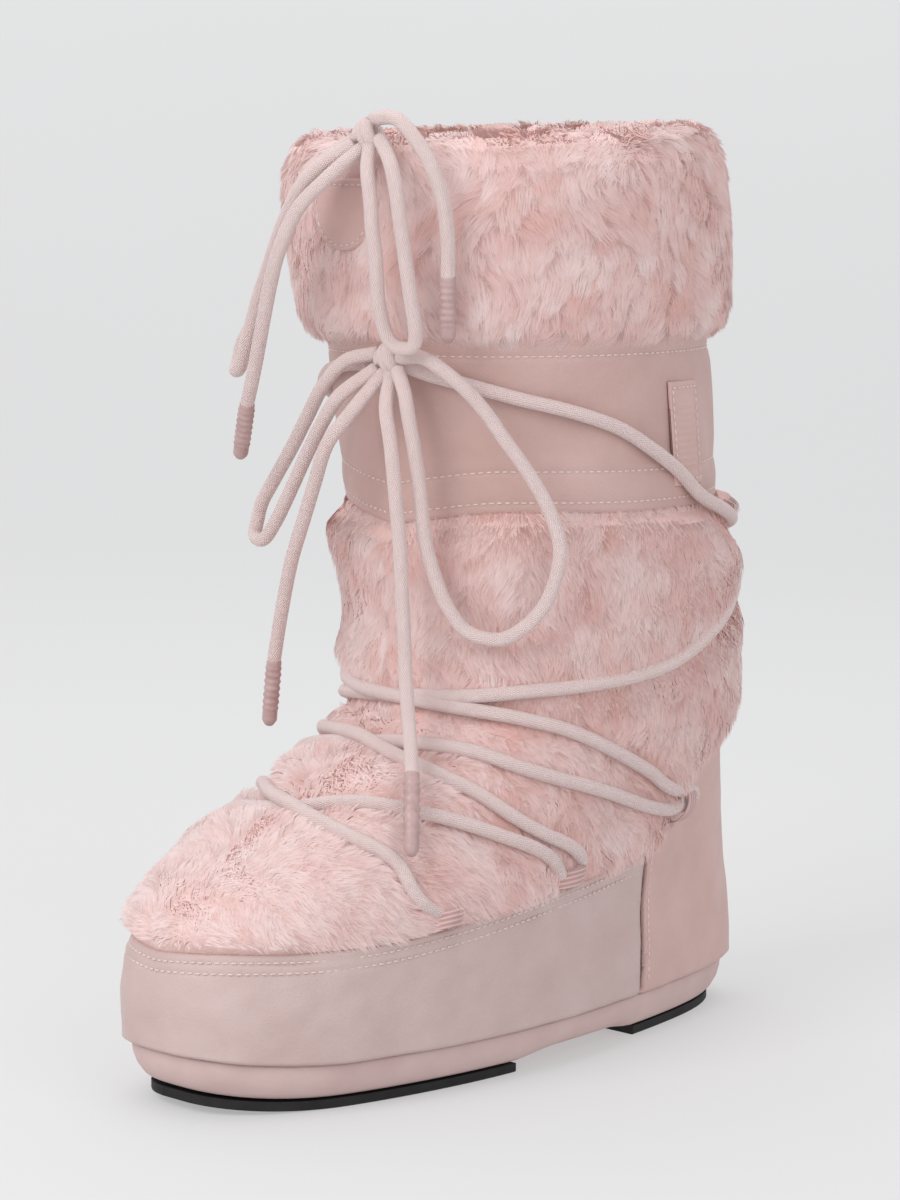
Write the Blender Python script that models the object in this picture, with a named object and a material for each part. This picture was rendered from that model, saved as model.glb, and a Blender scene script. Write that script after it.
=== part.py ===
"""Apres ski boot: fur and smooth panels over one hollow upper, on a moulded sole, laced round the ankle.

Sizes are in millimetres and turns in degrees. The toe points to -Y, the boot's left side to +X, the floor is z = 0.
A turn of 0 is the toe, 90 the left side and 180 the heel. "Proud" is a distance out from the upper's outer face.
"""
import math

import bmesh
import bpy
import numpy as np

MM = 0.001

# Driving sizes
WALL = 3.0            # thickness of the upper
CLEAR = 0.3           # gap between pieces that touch
SHEET = 2.7           # thickness of the rand and of the heel counter
BAND = 1.8            # thickness of the gaiter band
FUR_SEAT = 1.6        # from the upper to the back of the fur
PILE = 9.5            # height of the fur on vamp, ankle and shin
CUFF_PILE = 13.5      # height of the fur on the cuff
LOCK = 0.9            # how far a lock of fur stands out or in
LOCK_DROP = 2.0       # how far a lock hangs
TROUGH = 6.0          # how deep a lace presses into the fur
TROUGH_SPREAD = 11.0
LACE = 5.5            # diameter of every cord
TAG = 6.6             # diameter of a lace's end tag
TAG_GAP = 0.8         # from a cord's end to its tag, whose ends differ in slant
TREAD = 3.7           # thickness of the outsole pieces
GROOVE = 2.2          # depth of the outsole's grooves
SOLE_BASE = 4.0       # underside of the foam sole
LIP_TOP = 18.7        # top of the sole's lip, under the rand
BED_TOE = 27.0        # top of the foam under the toes
BED_HEEL = 34.0
INSOLE = 4.0
COLLAR = 356.0        # top edge of the upper
CUFF_LOW = 287.0      # lower edge of the cuff
TOE_SPRING = 5.0
SPRING_START = -95.0
SPRING_RUN = 55.0
ARCH = 2.5            # how far the waist of the sole clears the floor plane
COUNTER_TURN = 112.5  # where the rand ends and the heel counter begins
COLUMNS = 32          # stations round the boot

# Outer face of the upper. Columns: height, front, back, half width at the ball, half width at the heel,
# and the power that squares the plan
SECTIONS = np.array((
    (4, -145, 145, 56, 50, 0.74),
    (14, -149, 148.5, 59.5, 51.5, 0.74),
    (35, -150, 149, 60.5, 52, 0.76),
    (52, -148, 147.5, 60, 52, 0.78),
    (72, -134, 145, 58, 52, 0.80),
    (92, -100, 142, 55, 53.5, 0.84),
    (112, -60, 139, 54, 56, 0.90),
    (135, -27, 135, 57, 60, 0.95),
    (165, -21, 129, 63, 64, 1.0),
    (215, -27, 124, 68, 68, 1.0),
    (280, -37, 117, 69.5, 69.5, 1.0),
    (356, -46, 108, 71, 71, 1.0),
    (376, -48, 106, 71, 71, 1.0),
))
UPPER_HEIGHTS = (19.1, 34, 50, 62, 74, 84, 93, 102, 110, 118, 126, 134, 143, 155, 175, 215, 285, COLLAR)
LINING_HEIGHTS = (COLLAR, 285, 215, 165, 138, 116, 94, 74, 56, 36, 19.1)

# Edges of the panels. Columns: turn, height
RAND_TOP = np.array(((0, 56), (32, 60), (55, 61.5), (71, 65), (94, 72), (113, 76), (180, 76)))
COUNTER_TOP = np.array(((0, 110), (112, 110), (120, 111), (130, 116), (145, 126), (160, 129), (180, 130)))
GAITER_LOW = np.array(((0, 212), (40, 218), (90, 217), (140, 218), (180, 219)))

# Lace routes on one side, mirrored for the other. Columns: turn, height
TOE_LACE = ((57, 74), (46, 86), (34, 92), (17, 97), (0, 100), (-22, 103), (-45, 100), (-66, 93), (-81, 84))
INSTEP_LACE = (
    (84, 86), (76, 92), (67, 98), (49, 108), (33, 114), (17, 118), (0, 121), (-17, 122), (-36, 121), (-60, 115),
    (-85, 106), (-106, 97),
)
WRAP_LACE = (
    (107, 104), (96, 112), (85, 119), (65, 129), (44, 137), (22, 140), (0, 142), (-25, 144), (-47, 148), (-66, 151),
    (-86, 155), (-112, 168), (-140, 183), (-160, 190), (-180, 195), (-200, 200), (-220, 205), (-240, 212),
    (-255, 220), (-263, 229), (-275, 240), (-286, 249), (-300, 256), (-314, 261), (-327, 266), (-341.5, 271),
)
WRAP_TAIL = ((-350, 273), (-364.2, 274))   # the right lace runs on past the middle to the knot
LACE_PROUD = 12.1     # centre of a lace over fur
LACE_ON_BAND = 7.1    # centre of a lace over the gaiter band

# Loops for the laces. Columns: name, turn, rise of the centre over the rand's top, length, width, upright
LOOPS = (
    ("toe", 65, 4.2, 20, 7, False),
    ("instep", 90, 4.2, 20, 7, False),
    ("ankle", 116.5, 19, 20, 6, True),
)
CROSSING_SHIFT = (0.0, -0.35, 0.25)   # one lace lies a little over the other
LOOP_THICK = 1.4
LOOP_ARCH = 7.0
NOTCH = 10.5          # how far the fur clears the rand at a loop
NOTCH_HALF = 7.0      # half of the notch, in degrees

# Smooth patch on the cuff's front
PATCH_HEIGHT = 331.0
PATCH_SIZE = 27.0
PATCH_PROUD = 12.3

# Bow cords as they hang, in the boot's own frame. Columns: x, y, z
BOWS = {
    "drawstring_loop_left": (
        (10.4, -61.6, 357.2), (4, -68, 350), (-4, -73, 338), (-14, -73, 324), (-27, -69, 309), (-40, -62, 296),
        (-50, -58, 285), (-56, -58, 276), (-55, -61, 269), (-48, -66, 269), (-40, -69, 279), (-30, -72, 296),
        (-19, -75, 312), (-9, -77, 327), (-1, -76, 340), (6, -72, 348), (11.5, -65.4, 353.6),
    ),
    "drawstring_end_left": (
        (17, -63.6, 351.6), (12, -75, 343), (3, -82, 331), (-5, -83, 317), (-14, -80, 302), (-23, -76, 286),
        (-33, -71, 270), (-43, -66, 256),
    ),
    "drawstring_loop_right": (
        (23.2, -63.2, 352.6), (26, -67, 344), (28, -67, 330), (28, -65, 315), (26, -62, 300), (25, -58, 288),
        (29, -55, 280), (36, -53, 280), (38, -54, 288), (38, -57, 302), (38, -60, 318), (38, -63, 334),
        (36, -64, 347), (28.4, -60.2, 357.2),
    ),
    "drawstring_end_right": (
        (22, -58.8, 368.3), (32, -60, 366), (42, -58, 358), (48, -55, 347), (50, -51, 334), (49, -48, 320), (47, -46, 306),
    ),
    "lace_loop_left": (
        (5.5, -46.6, 278.4), (-2, -50.5, 275), (-13, -53, 265), (-25, -50, 253), (-38, -47, 239), (-52, -44, 225),
        (-62, -43, 212), (-63, -45, 203), (-55, -48, 201), (-45, -50, 209), (-34, -52, 222), (-23, -54, 236),
        (-12, -56, 249), (-2, -57, 260), (7.6, -49.6, 269.6),
    ),
    "lace_end_left": (
        (12.6, -47.6, 267.4), (6, -56, 256), (-4, -60, 243), (-14, -57, 228), (-24, -54, 212), (-34, -51, 196),
        (-43, -47, 180), (-50, -44, 165), (-55, -42, 152),
    ),
    "lace_loop_right": (
        (23.6, -45.2, 276.4), (32, -46, 277), (42, -40, 270), (50, -31, 258), (56, -25, 246), (62, -18, 233),
        (67, -12, 219), (70, -9, 204), (67, -10, 189), (60, -15, 176), (50, -22, 169), (41, -28, 171),
        (34, -33, 181), (30, -37, 195), (28, -40, 210), (28, -42, 226), (28, -45, 242), (27, -48, 259),
        (23.2, -47.2, 270.2),
    ),
    "lace_end_right": (
        (17.2, -46.4, 267.2), (20, -52, 255), (23, -52, 240), (24, -51, 224), (24, -49, 208), (24, -48, 192),
        (24, -47, 176), (24, -46, 161), (27, -48, 147), (35, -54, 132), (43, -61, 121),
    ),
}
# Tags on the cords' ends. Columns: cord, x, y, z of the tag's tip
TAGS = (
    ("drawstring_end_left", -55, -59, 235),
    ("drawstring_end_right", 44, -43, 283),
    ("lace_end_left", -58, -42, 127),
    ("lace_end_right", 58, -76, 95),
)
# Knots. Columns: name, x, y, z, half width, half depth, half height
KNOTS = (
    ("drawstring_knot", 19, -59.3, 359.2, 8.1, 5.9, 6.5),
    ("lace_knot", 14.6, -44.3, 275, 8.4, 6.3, 6.3),
)

COLOURS = {
    "fur": (0.78, 0.47, 0.44, 0.95),
    "smooth": (0.60, 0.44, 0.42, 0.55),
    "sole": (0.62, 0.45, 0.44, 0.5),
    "rubber": (0.012, 0.012, 0.014, 0.6),
    "cord": (0.68, 0.52, 0.50, 0.8),
    "tag": (0.50, 0.37, 0.36, 0.35),
    "lining": (0.66, 0.48, 0.46, 0.9),
}


def smooth_step(low, high, value):
    part = np.clip((value - low) / (high - low), 0.0, 1.0)
    return part * part * (3.0 - 2.0 * part)


def curve_through(places, stations, values):
    """A smooth curve through the stations that overshoots none of them."""
    gap = np.diff(stations)
    grade = np.diff(values) / gap
    slope = np.zeros(len(stations))
    same = grade[:-1] * grade[1:] > 0
    slope[1:-1][same] = 2.0 * (grade[:-1] * grade[1:])[same] / (grade[:-1] + grade[1:])[same]
    slope[0], slope[-1] = grade[0], grade[-1]
    place = np.clip(places, stations[0], stations[-1])
    k = np.clip(np.searchsorted(stations, place, side="right") - 1, 0, len(gap) - 1)
    s = (place - stations[k]) / gap[k]
    ease = s * s * (3.0 - 2.0 * s)
    lean = s * (1.0 - s) * gap[k] * (slope[k] * (1.0 - s) - slope[k + 1] * s)
    return values[k] + (values[k + 1] - values[k]) * ease + lean


def edge(table, turns):
    """Height of a panel's edge at each turn, the same left and right."""
    folded = np.abs((np.asarray(turns, float) + 180.0) % 360.0 - 180.0)
    return curve_through(folded, table[:, 0].astype(float), table[:, 1].astype(float))


def sole_rise(y):
    """Toe spring along the boot's length."""
    return TOE_SPRING * np.clip((SPRING_START - y) / SPRING_RUN, 0.0, 1.0) ** 2


def base_skin(turn, height):
    front, back, ball, heel, power = (curve_through(height, SECTIONS[:, 0], SECTIONS[:, k]) for k in range(1, 6))
    along = (1.0 - np.cos(turn)) / 2.0
    half = ball + (heel - ball) * smooth_step(0.35, 0.85, along)
    y = front + (back - front) * along
    x = half * np.sign(np.sin(turn)) * np.abs(np.sin(turn)) ** power
    z = height + sole_rise(y) * (1.0 - smooth_step(60.0, 110.0, height))
    return np.stack((x, y, z), axis=-1)


def skin(turns, heights, proud=0.0):
    """Points on the upper's outer face, moved out along its normal by proud."""
    turn, height, out = np.broadcast_arrays(
        np.radians(np.asarray(turns, float)), np.asarray(heights, float), np.asarray(proud, float))
    step = 0.001
    across = base_skin(turn + step, height) - base_skin(turn - step, height)
    up = base_skin(turn, height + 0.5) - base_skin(turn, height - 0.5)
    normal = np.cross(across, up)
    normal /= np.linalg.norm(normal, axis=-1, keepdims=True)
    return base_skin(turn, height) + normal * out[..., None]


def round_turns():
    return np.arange(COLUMNS) * 360.0 / COLUMNS


def turns_between(start, end):
    """The boot's stations inside a stretch, with the stretch's own ends."""
    step = 360.0 / COLUMNS
    inner = [k * step for k in range(-COLUMNS, 2 * COLUMNS) if start + 2.0 < k * step < end - 2.0]
    return np.array([start, *inner, end])


def material(name, slot):
    made = bpy.data.materials.new(name + "_" + slot)
    made.use_nodes = True
    shader = made.node_tree.nodes["Principled BSDF"]
    red, green, blue, rough = COLOURS[slot]
    shader.inputs["Base Color"].default_value = (red, green, blue, 1.0)
    shader.inputs["Roughness"].default_value = rough
    shader.inputs["Metallic"].default_value = 0.0
    return made


def add_mesh(name, mesh_edit, slot):
    bmesh.ops.recalc_face_normals(mesh_edit, faces=mesh_edit.faces[:])
    mesh = bpy.data.meshes.new(name)
    mesh_edit.to_mesh(mesh)
    mesh_edit.free()
    mesh.materials.append(material(name, slot))
    made = bpy.data.objects.new(name, mesh)
    PARTS.objects.link(made)
    return made


def loft(name, rings, slot, closed_round=True, closed_profile=True):
    """Join rings of points. A profile that isn't closed is capped by strips across the boot."""
    edit = bmesh.new()
    rows = [[edit.verts.new(point * MM) for point in ring] for ring in rings]
    count = len(rows[0])
    for k in range(len(rows) if closed_profile else len(rows) - 1):
        low, high = rows[k], rows[(k + 1) % len(rows)]
        for c in range(count if closed_round else count - 1):
            d = (c + 1) % count
            edit.faces.new((low[c], low[d], high[d], high[c]))
    if not closed_round:
        for c in (0, -1):
            for k in range(len(rows) // 2 - 1):
                edit.faces.new((rows[k][c], rows[k + 1][c], rows[-2 - k][c], rows[-1 - k][c]))
    if not closed_profile:
        for row in (rows[0], rows[-1]):
            half = count // 2
            edit.faces.new((row[0], row[1], row[-1]))
            edit.faces.new((row[half - 1], row[half], row[half + 1]))
            for c in range(1, half - 1):
                edit.faces.new((row[c], row[c + 1], row[count - c - 1], row[count - c]))
    return add_mesh(name, edit, slot)


def route_distance(turns, heights, routes):
    """Distance over the skin from each point to the nearest lace route."""
    here = skin(turns, heights)
    nearest = np.full(np.shape(here)[:-1], 1e6)
    for route in routes:
        table = dense_route(route)
        for side in (1, -1):
            line = skin(table[:, 0] * side, table[:, 1])
            gaps = np.linalg.norm(here[..., None, :] - line, axis=-1)
            nearest = np.minimum(nearest, gaps.min(axis=-1))
    return nearest


def dense_route(route):
    table = np.array(route, float)
    stations = np.arange(len(table))
    steps = np.linspace(0, len(table) - 1, 4 * len(table))
    return np.stack([curve_through(steps, stations, table[:, k]) for k in (0, 1)], axis=-1)


def locks(rows, turns):
    """Staggered locks: each second station of the fur stands out and hangs."""
    side = np.where(np.arange(rows) % 2 == 0, 1.0, -1.0)
    return side[:, None] * np.cos(np.radians(turns) * COLUMNS / 2.0)


# Sole

def sole_outline(y, inset):
    """Half width of the sole's underside at y."""
    height = np.full(np.shape(y), SOLE_BASE)
    front, back, ball, heel, power = (curve_through(height, SECTIONS[:, 0], SECTIONS[:, k]) for k in range(1, 6))
    along = np.clip((y - front - inset) / (back - front - 2 * inset), 0.0, 1.0)
    half = ball + (heel - ball) * smooth_step(0.35, 0.85, along) - inset
    return half * (2.0 * np.sqrt(along * (1.0 - along))) ** power


def make_outsole(name, start, end, groove_pitch):
    """A rubber piece with cross bars, lofted along the boot from its own outline."""
    inset, draft, groove = 3.0, 0.6, 4.0
    low = SECTIONS[0, 1] + inset + 0.3
    high = SECTIONS[0, 2] - inset - 0.3
    start, end = max(start, low), min(end, high)
    ease = np.linspace(0.0, 1.0, 15)
    stations = list(start + (end - start) * ease)
    cuts = np.arange(start + 12.0, end - 10.0, groove_pitch)
    for cut in cuts:
        stations += [cut - draft, cut, cut + groove, cut + groove + draft]
    stations += [low + k for k in (0.8, 2.5, 5.5)] if start == low else []
    stations += [high - k for k in (0.8, 2.5, 5.5)] if end == high else []
    kept = []
    for y in sorted(stations):
        near_cut = any(cut - draft - 0.01 <= y <= cut + groove + draft + 0.01 for cut in cuts)
        is_cut = any(min(abs(y - cut - k) for k in (-draft, 0, groove, groove + draft)) < 1e-6 for cut in cuts)
        if (not near_cut or is_cut) and (not kept or y - kept[-1] > 0.3):
            kept.append(y)
    y = np.array(kept)
    half = np.maximum(sole_outline(y, inset), 9.0)
    bottom = np.zeros(len(y))
    for cut in cuts:
        bottom[(y > cut - 0.01) & (y < cut + groove + 0.01)] = GROOVE
    rise = sole_rise(y)
    corners = (
        np.stack((-half, y, bottom + rise), axis=-1),
        np.stack((half, y, bottom + rise), axis=-1),
        np.stack((half, y, TREAD + rise), axis=-1),
        np.stack((-half, y, TREAD + rise), axis=-1),
    )
    loft(name, corners, "rubber", closed_round=False)


def make_midsole():
    """Foam sole with its lip, the waist raised a little, and the bed that plugs the upper."""
    turns = round_turns()
    lip = ((SOLE_BASE, -3.6), (6.0, -1.6), (10.0, -0.6), (LIP_TOP, 0.0))
    rings = [skin(turns, height, proud) for height, proud in lip]
    waist = smooth_step(-14.0, 8.0, rings[0][:, 1]) * (1.0 - smooth_step(40.0, 62.0, rings[0][:, 1]))
    rings[0][:, 2] += ARCH * waist
    rings[1][:, 2] += ARCH * waist * 0.5
    inside = -WALL - 0.5
    rings.append(skin(turns, LIP_TOP, inside))
    rings.append(skin(turns, BED_TOE - 1.0, inside))
    rings.append(skin(turns, BED_TOE, inside - 0.6))
    rings[-1][:, 2] += bed_rise(rings[-1][:, 1])
    rings[-2][:, 2] += bed_rise(rings[-2][:, 1])
    loft("midsole", rings, "sole", closed_profile=False)


def bed_rise(y):
    return (BED_HEEL - BED_TOE) * smooth_step(-20.0, 90.0, y)


def make_insole():
    turns = round_turns()
    inside = -WALL - 1.0
    rings = [skin(turns, height, inside) for height in (BED_TOE + CLEAR, BED_TOE + CLEAR + INSOLE)]
    for ring in rings:
        ring[:, 2] += bed_rise(ring[:, 1])
    loft("insole", rings, "lining", closed_profile=False)


# Upper and the panels on it

def make_upper():
    turns = round_turns()
    rings = [skin(turns, height) for height in UPPER_HEIGHTS]
    rings += [skin(turns, height, -WALL) for height in LINING_HEIGHTS]
    loft("upper", rings, "lining")


def make_panel(name, turns, low, high, rows, seat, thick, slot, closed_round=False):
    """A sheet that follows the upper, from one edge to the other."""
    levels = np.linspace(0.0, 1.0, rows)
    faces = [skin(turns, low + (high - low) * level, seat + thick) for level in levels]
    backs = [skin(turns, low + (high - low) * level, seat) for level in reversed(levels)]
    loft(name, faces + backs, slot, closed_round=closed_round)


def make_smooth_panels():
    gap = 0.12
    low = LIP_TOP + CLEAR
    rand = turns_between(-COUNTER_TURN + gap, COUNTER_TURN - gap)
    make_panel("rand", rand, low, edge(RAND_TOP, rand), 6, 0.4, SHEET, "smooth")
    counter = turns_between(COUNTER_TURN + gap, 360.0 - COUNTER_TURN - gap)
    make_panel("heel_counter", counter, low, edge(COUNTER_TOP, counter), 9, 0.6, SHEET, "smooth")
    turns = round_turns()
    top = np.full(len(turns), CUFF_LOW - CLEAR)
    make_panel("gaiter_band", turns, edge(GAITER_LOW, turns), top, 3, 0.4, BAND, "smooth", closed_round=True)


def fur_turns():
    """The boot's stations, with extra ones where the fur's edge steps at the loops and the counter."""
    turns = set(np.round(np.where(round_turns() > 180, round_turns() - 360, round_turns()), 3))
    for name, turn, rise, length, width, upright in LOOPS:
        if not upright:
            for side in (1, -1):
                turns = {t for t in turns if abs(t - side * turn) > NOTCH_HALF + 1.0}
                turns |= {side * (turn + k) for k in (-NOTCH_HALF, -NOTCH_HALF + 1.2, 0, NOTCH_HALF - 1.2, NOTCH_HALF)}
    turns |= {side * (COUNTER_TURN - k) for side in (1, -1) for k in (0.7, 0.25)}
    return np.array(sorted(turns))


def fur_low(turns):
    """Lower edge of the fur: over the rand, up at each loop's notch and over the counter."""
    folded = np.abs(turns)
    low = np.where(folded < COUNTER_TURN - 0.5, edge(RAND_TOP, turns), edge(COUNTER_TOP, turns)) + CLEAR
    for name, turn, rise, length, width, upright in LOOPS:
        if not upright:
            low = low + np.where(np.abs(folded - turn) < NOTCH_HALF - 1.0, NOTCH, 0.0)
    return low


def make_lower_fur():
    turns = fur_turns()
    low = fur_low(turns)
    high = edge(GAITER_LOW, turns) - CLEAR
    levels = np.array((0.0, 0.06, 0.15, 0.25, 0.35, 0.45, 0.56, 0.68, 0.82, 0.94, 1.0))
    heights = low + (high - low) * levels[:, None]
    pile = np.full(heights.shape, PILE)
    pile -= TROUGH * np.exp(-(route_distance(turns, heights, (TOE_LACE, INSTEP_LACE, WRAP_LACE)) / TROUGH_SPREAD) ** 2)
    pile *= np.array((0.62, 0.9, 1, 1, 1, 1, 1, 1, 1, 1, 0.8))[:, None]
    pattern = locks(len(levels), turns)
    pattern[0] = pattern[-1] = 0.0
    outer = skin(turns, heights - LOCK_DROP * np.maximum(pattern, 0.0), pile + LOCK * pattern)
    hem = skin(turns, low - 3.0, SHEET + 1.3)
    inner_levels = (1.0, 0.82, 0.68, 0.59, 0.53, 0.47, 0.41, 0.35, 0.29, 0.21, 0.12, 0.0)
    inner = [skin(turns, low + (high - low) * level + (0.6 if level == 0.0 else 0.0), FUR_SEAT) for level in inner_levels]
    shelf = skin(turns, low + 0.6, SHEET + 1.3)
    loft("fur_lower", [hem, *outer, *inner, shelf], "fur")


def patch_nearness(turns, heights, reach):
    """1 at the middle of the cuff's patch, fading over the reach."""
    here = skin(turns, heights)
    middle = skin(0.0, PATCH_HEIGHT)
    return np.exp(-(np.linalg.norm(here - middle, axis=-1) / reach) ** 2)


def make_cuff():
    """Fur trim over the collar's edge, inside and out."""
    turns = round_turns()
    outer = np.array((
        (283.8, 6.0), (290, 10.5), (301, 12.8), (314, CUFF_PILE), (330, CUFF_PILE), (345, CUFF_PILE), (357, 11.5),
        (364.5, 7.0), (367.5, 0.0), (364, -6.5), (356, -9.0),
    ))
    heights = np.repeat(outer[:, :1], len(turns), axis=1)
    pile = np.repeat(outer[:, 1:], len(turns), axis=1)
    near = patch_nearness(turns, heights, 24.0)
    fade = np.array((0, 1, 1, 1, 1, 1, 1, 0.6, 0.4, 0.4, 0))[:, None]
    pattern = locks(len(outer), turns) * fade * (1.0 - patch_nearness(turns, heights, 32.0))
    pile = pile + LOCK * pattern - 3.5 * near * (heights < 360)
    cover = [skin(turns, heights[k] - LOCK_DROP * np.maximum(pattern[k], 0.0), pile[k]) for k in range(len(outer))]
    inner = ((347, -8.0), (346, -4.0), (COLLAR + 0.7, -4.0), (COLLAR + 0.7, FUR_SEAT), (320, FUR_SEAT),
             (CUFF_LOW, FUR_SEAT), (CUFF_LOW, BAND + 1.1), (283.5, BAND + 1.1))
    rings = cover + [skin(turns, height, proud) for height, proud in inner]
    loft("fur_cuff", rings, "fur")


def degrees_for(length, turn, height):
    """How many degrees of turn give this length at one place on the skin."""
    step = np.linalg.norm(skin(turn + 1.0, height) - skin(turn - 1.0, height)) / 2.0
    return length / step


def make_patch():
    """Smooth patch on the cuff's front: straight at the top, round below."""
    half = PATCH_SIZE / 2.0
    outline = [(-half, half), (0.0, half), (half, half), (half, 2.0)]
    outline += [(half * math.cos(a), 2.0 - (half + 2.0) * math.sin(a)) for a in np.radians((30, 60, 90, 120, 150))]
    outline += [(-half, 2.0)]
    scale = degrees_for(1.0, 0.0, PATCH_HEIGHT)
    across = np.array([p[0] for p in outline]) * scale
    up = np.array([p[1] for p in outline]) + PATCH_HEIGHT
    edit = bmesh.new()
    sides = []
    for proud in (PATCH_PROUD, PATCH_PROUD + 1.5):
        rim = [edit.verts.new(point * MM) for point in skin(across, up, proud)]
        middle = edit.verts.new(skin(0.0, PATCH_HEIGHT, proud) * MM)
        for k in range(len(rim)):
            edit.faces.new((rim[k], rim[(k + 1) % len(rim)], middle))
        sides.append(rim)
    for k in range(len(outline)):
        j = (k + 1) % len(outline)
        edit.faces.new((sides[0][k], sides[0][j], sides[1][j], sides[1][k]))
    add_mesh("cuff_patch", edit, "smooth")


def make_side_tabs():
    """Stitched tab on each side of the gaiter band."""
    middle, half, low, high = 103.0, 7.5, 224.0, 265.0
    for side, label in ((1, "left"), (-1, "right")):
        turns = side * np.array((middle - half, middle, middle + half))
        edges = np.full(3, low), np.full(3, high)
        make_panel("side_tab_" + label, turns, *edges, 3, 0.4 + BAND + 0.4, 1.0, "smooth")


def make_lace_loops():
    """Arched ribbon loops along the rand's top and on the counter's front corners."""
    stations = np.array((-1.0, -0.78, -0.5, 0.0, 0.5, 0.78, 1.0))
    arch = LOOP_ARCH * np.clip(1.0 - (stations / 0.75) ** 2, 0.0, None) ** 0.6
    for name, turn, rise, length, width, upright in LOOPS:
        seat = SHEET + 0.9 if upright else CLEAR
        height = float(edge(RAND_TOP, turn)) + rise
        for side, label in ((1, "left"), (-1, "right")):
            corners = []
            for across, out in ((-0.5, 0.0), (0.5, 0.0), (0.5, LOOP_THICK), (-0.5, LOOP_THICK)):
                if upright:
                    turns = turn + degrees_for(width, turn, height) * across
                    heights = height + stations * length / 2.0
                else:
                    turns = turn + stations * degrees_for(length / 2.0, turn, height)
                    heights = edge(RAND_TOP, turns) + rise + width * across
                corners.append(skin(side * turns, heights, seat + arch + out))
            loft("loop_" + name + "_" + label, corners, "cord", closed_round=False)


# Laces

def tube(name, points, slot, diameter=LACE, collection=None):
    curve = bpy.data.curves.new(name, "CURVE")
    curve.dimensions = "3D"
    curve.bevel_depth = diameter / 2.0 * MM
    curve.bevel_resolution = 2
    curve.use_fill_caps = True
    line = curve.splines.new("POLY")
    line.points.add(len(points) - 1)
    for spot, point in zip(line.points, points):
        spot.co = (*(np.asarray(point) * MM), 1.0)
    curve.materials.append(material(name, slot))
    made = bpy.data.objects.new(name, curve)
    (collection or PARTS).objects.link(made)
    return made


def evenly(points, pitch):
    """Points a fixed pitch apart along a smooth curve through the route."""
    route = np.asarray(points, float)
    steps = np.linspace(0, len(route) - 1, 12 * len(route))
    fine = np.stack([curve_through(steps, np.arange(len(route)), route[:, k]) for k in range(3)], axis=-1)
    along = np.concatenate(([0.0], np.cumsum(np.linalg.norm(np.diff(fine, axis=0), axis=1))))
    places = np.linspace(0.0, along[-1], max(3, round(along[-1] / pitch) + 1))
    return np.stack([np.interp(places, along, fine[:, k]) for k in range(3)], axis=-1)


def lace_height(turns, heights):
    """Centre of a lace: on the fur, or on the gaiter band above it."""
    onto = smooth_step(-6.0, 6.0, heights - edge(GAITER_LOW, turns))
    return LACE_PROUD + (LACE_ON_BAND - LACE_PROUD) * onto


def lace_points(route, side):
    table = np.array(route, float)
    proud = lace_height(table[:, 0], table[:, 1])
    return evenly(skin(table[:, 0] * side, table[:, 1], proud), 3.5 * LACE)


def make_crossing(name, route, tail=()):
    """One lace and the other side's lace over the boot's middle, joined where they cross."""
    lace = mesh_copy(tube(name + "_curve", lace_points(route, 1), "cord", collection=CUTTERS), name, PARTS)
    other = mesh_copy(tube(name + "_other_curve", lace_points(route + tail, -1) + CROSSING_SHIFT, "cord",
                           collection=CUTTERS), name + "_other", CUTTERS)
    join = lace.modifiers.new("crossing", "BOOLEAN")
    join.operation = "UNION"
    join.solver = "EXACT"
    join.object = other
    return lace


def mesh_copy(source, name, collection):
    """The curve's tube as a mesh object; the curve is removed."""
    bpy.context.view_layer.update()
    mesh = bpy.data.meshes.new_from_object(source.evaluated_get(bpy.context.evaluated_depsgraph_get()))
    mesh.name = name
    bpy.data.objects.remove(source)
    made = bpy.data.objects.new(name, mesh)
    collection.objects.link(made)
    if collection is CUTTERS:
        made.hide_render = True
        made.display_type = "WIRE"
    return made


def make_knot(name, x, y, z, wide, deep, tall):
    edit = bmesh.new()
    bmesh.ops.create_uvsphere(edit, u_segments=10, v_segments=6, radius=1.0)
    bmesh.ops.scale(edit, vec=(wide * MM, deep * MM, tall * MM), verts=edit.verts[:])
    made = add_mesh(name, edit, "cord")
    made.location = (x * MM, y * MM, z * MM)


def make_tag(name, start, tip):
    """Ribbed end tag, from just past the cord's end to its tip."""
    start, tip = np.array(start, float), np.array(tip, float)
    way = (tip - start) / np.linalg.norm(tip - start)
    tube(name, (start + way * TAG_GAP, (start + tip) / 2.0, tip), "tag", diameter=TAG)


def make_laces():
    make_crossing("lace_crossing_toe", TOE_LACE)
    make_crossing("lace_crossing_instep", INSTEP_LACE)
    make_crossing("lace_wrap", WRAP_LACE, WRAP_TAIL)
    for knot in KNOTS:
        make_knot(*knot)
    for name, route in BOWS.items():
        tube(name, evenly(route, 2.8 * LACE), "cord")
    for cord, *tip in TAGS:
        make_tag(cord.replace("end", "tag"), BOWS[cord][-1], tip)


def clear_scene():
    for old in list(bpy.data.objects):
        bpy.data.objects.remove(old, do_unlink=True)


clear_scene()
PARTS = bpy.data.collections.new("apres_ski_boot")
CUTTERS = bpy.data.collections.new("cutters")
bpy.context.scene.collection.children.link(PARTS)
bpy.context.scene.collection.children.link(CUTTERS)
make_outsole("outsole_forefoot", -150.0, -14.0, 15.0)
make_outsole("outsole_heel", 62.0, 150.0, 14.0)
make_midsole()
make_insole()
make_upper()
make_smooth_panels()
make_lower_fur()
make_cuff()
make_patch()
make_side_tabs()
make_lace_loops()
make_laces()
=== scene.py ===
"""Apres ski boot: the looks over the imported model.

Tables are in millimetres and degrees in the boot's own frame: the toe points to -Y, the boot's left side
to +X, the floor is z = 0. A turn of 0 is the toe, 90 the left side and 180 the heel. "Proud" is a distance
out from the upper's outer face.
"""
import math

import bpy
import numpy as np
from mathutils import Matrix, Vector
from mathutils.kdtree import KDTree


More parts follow.
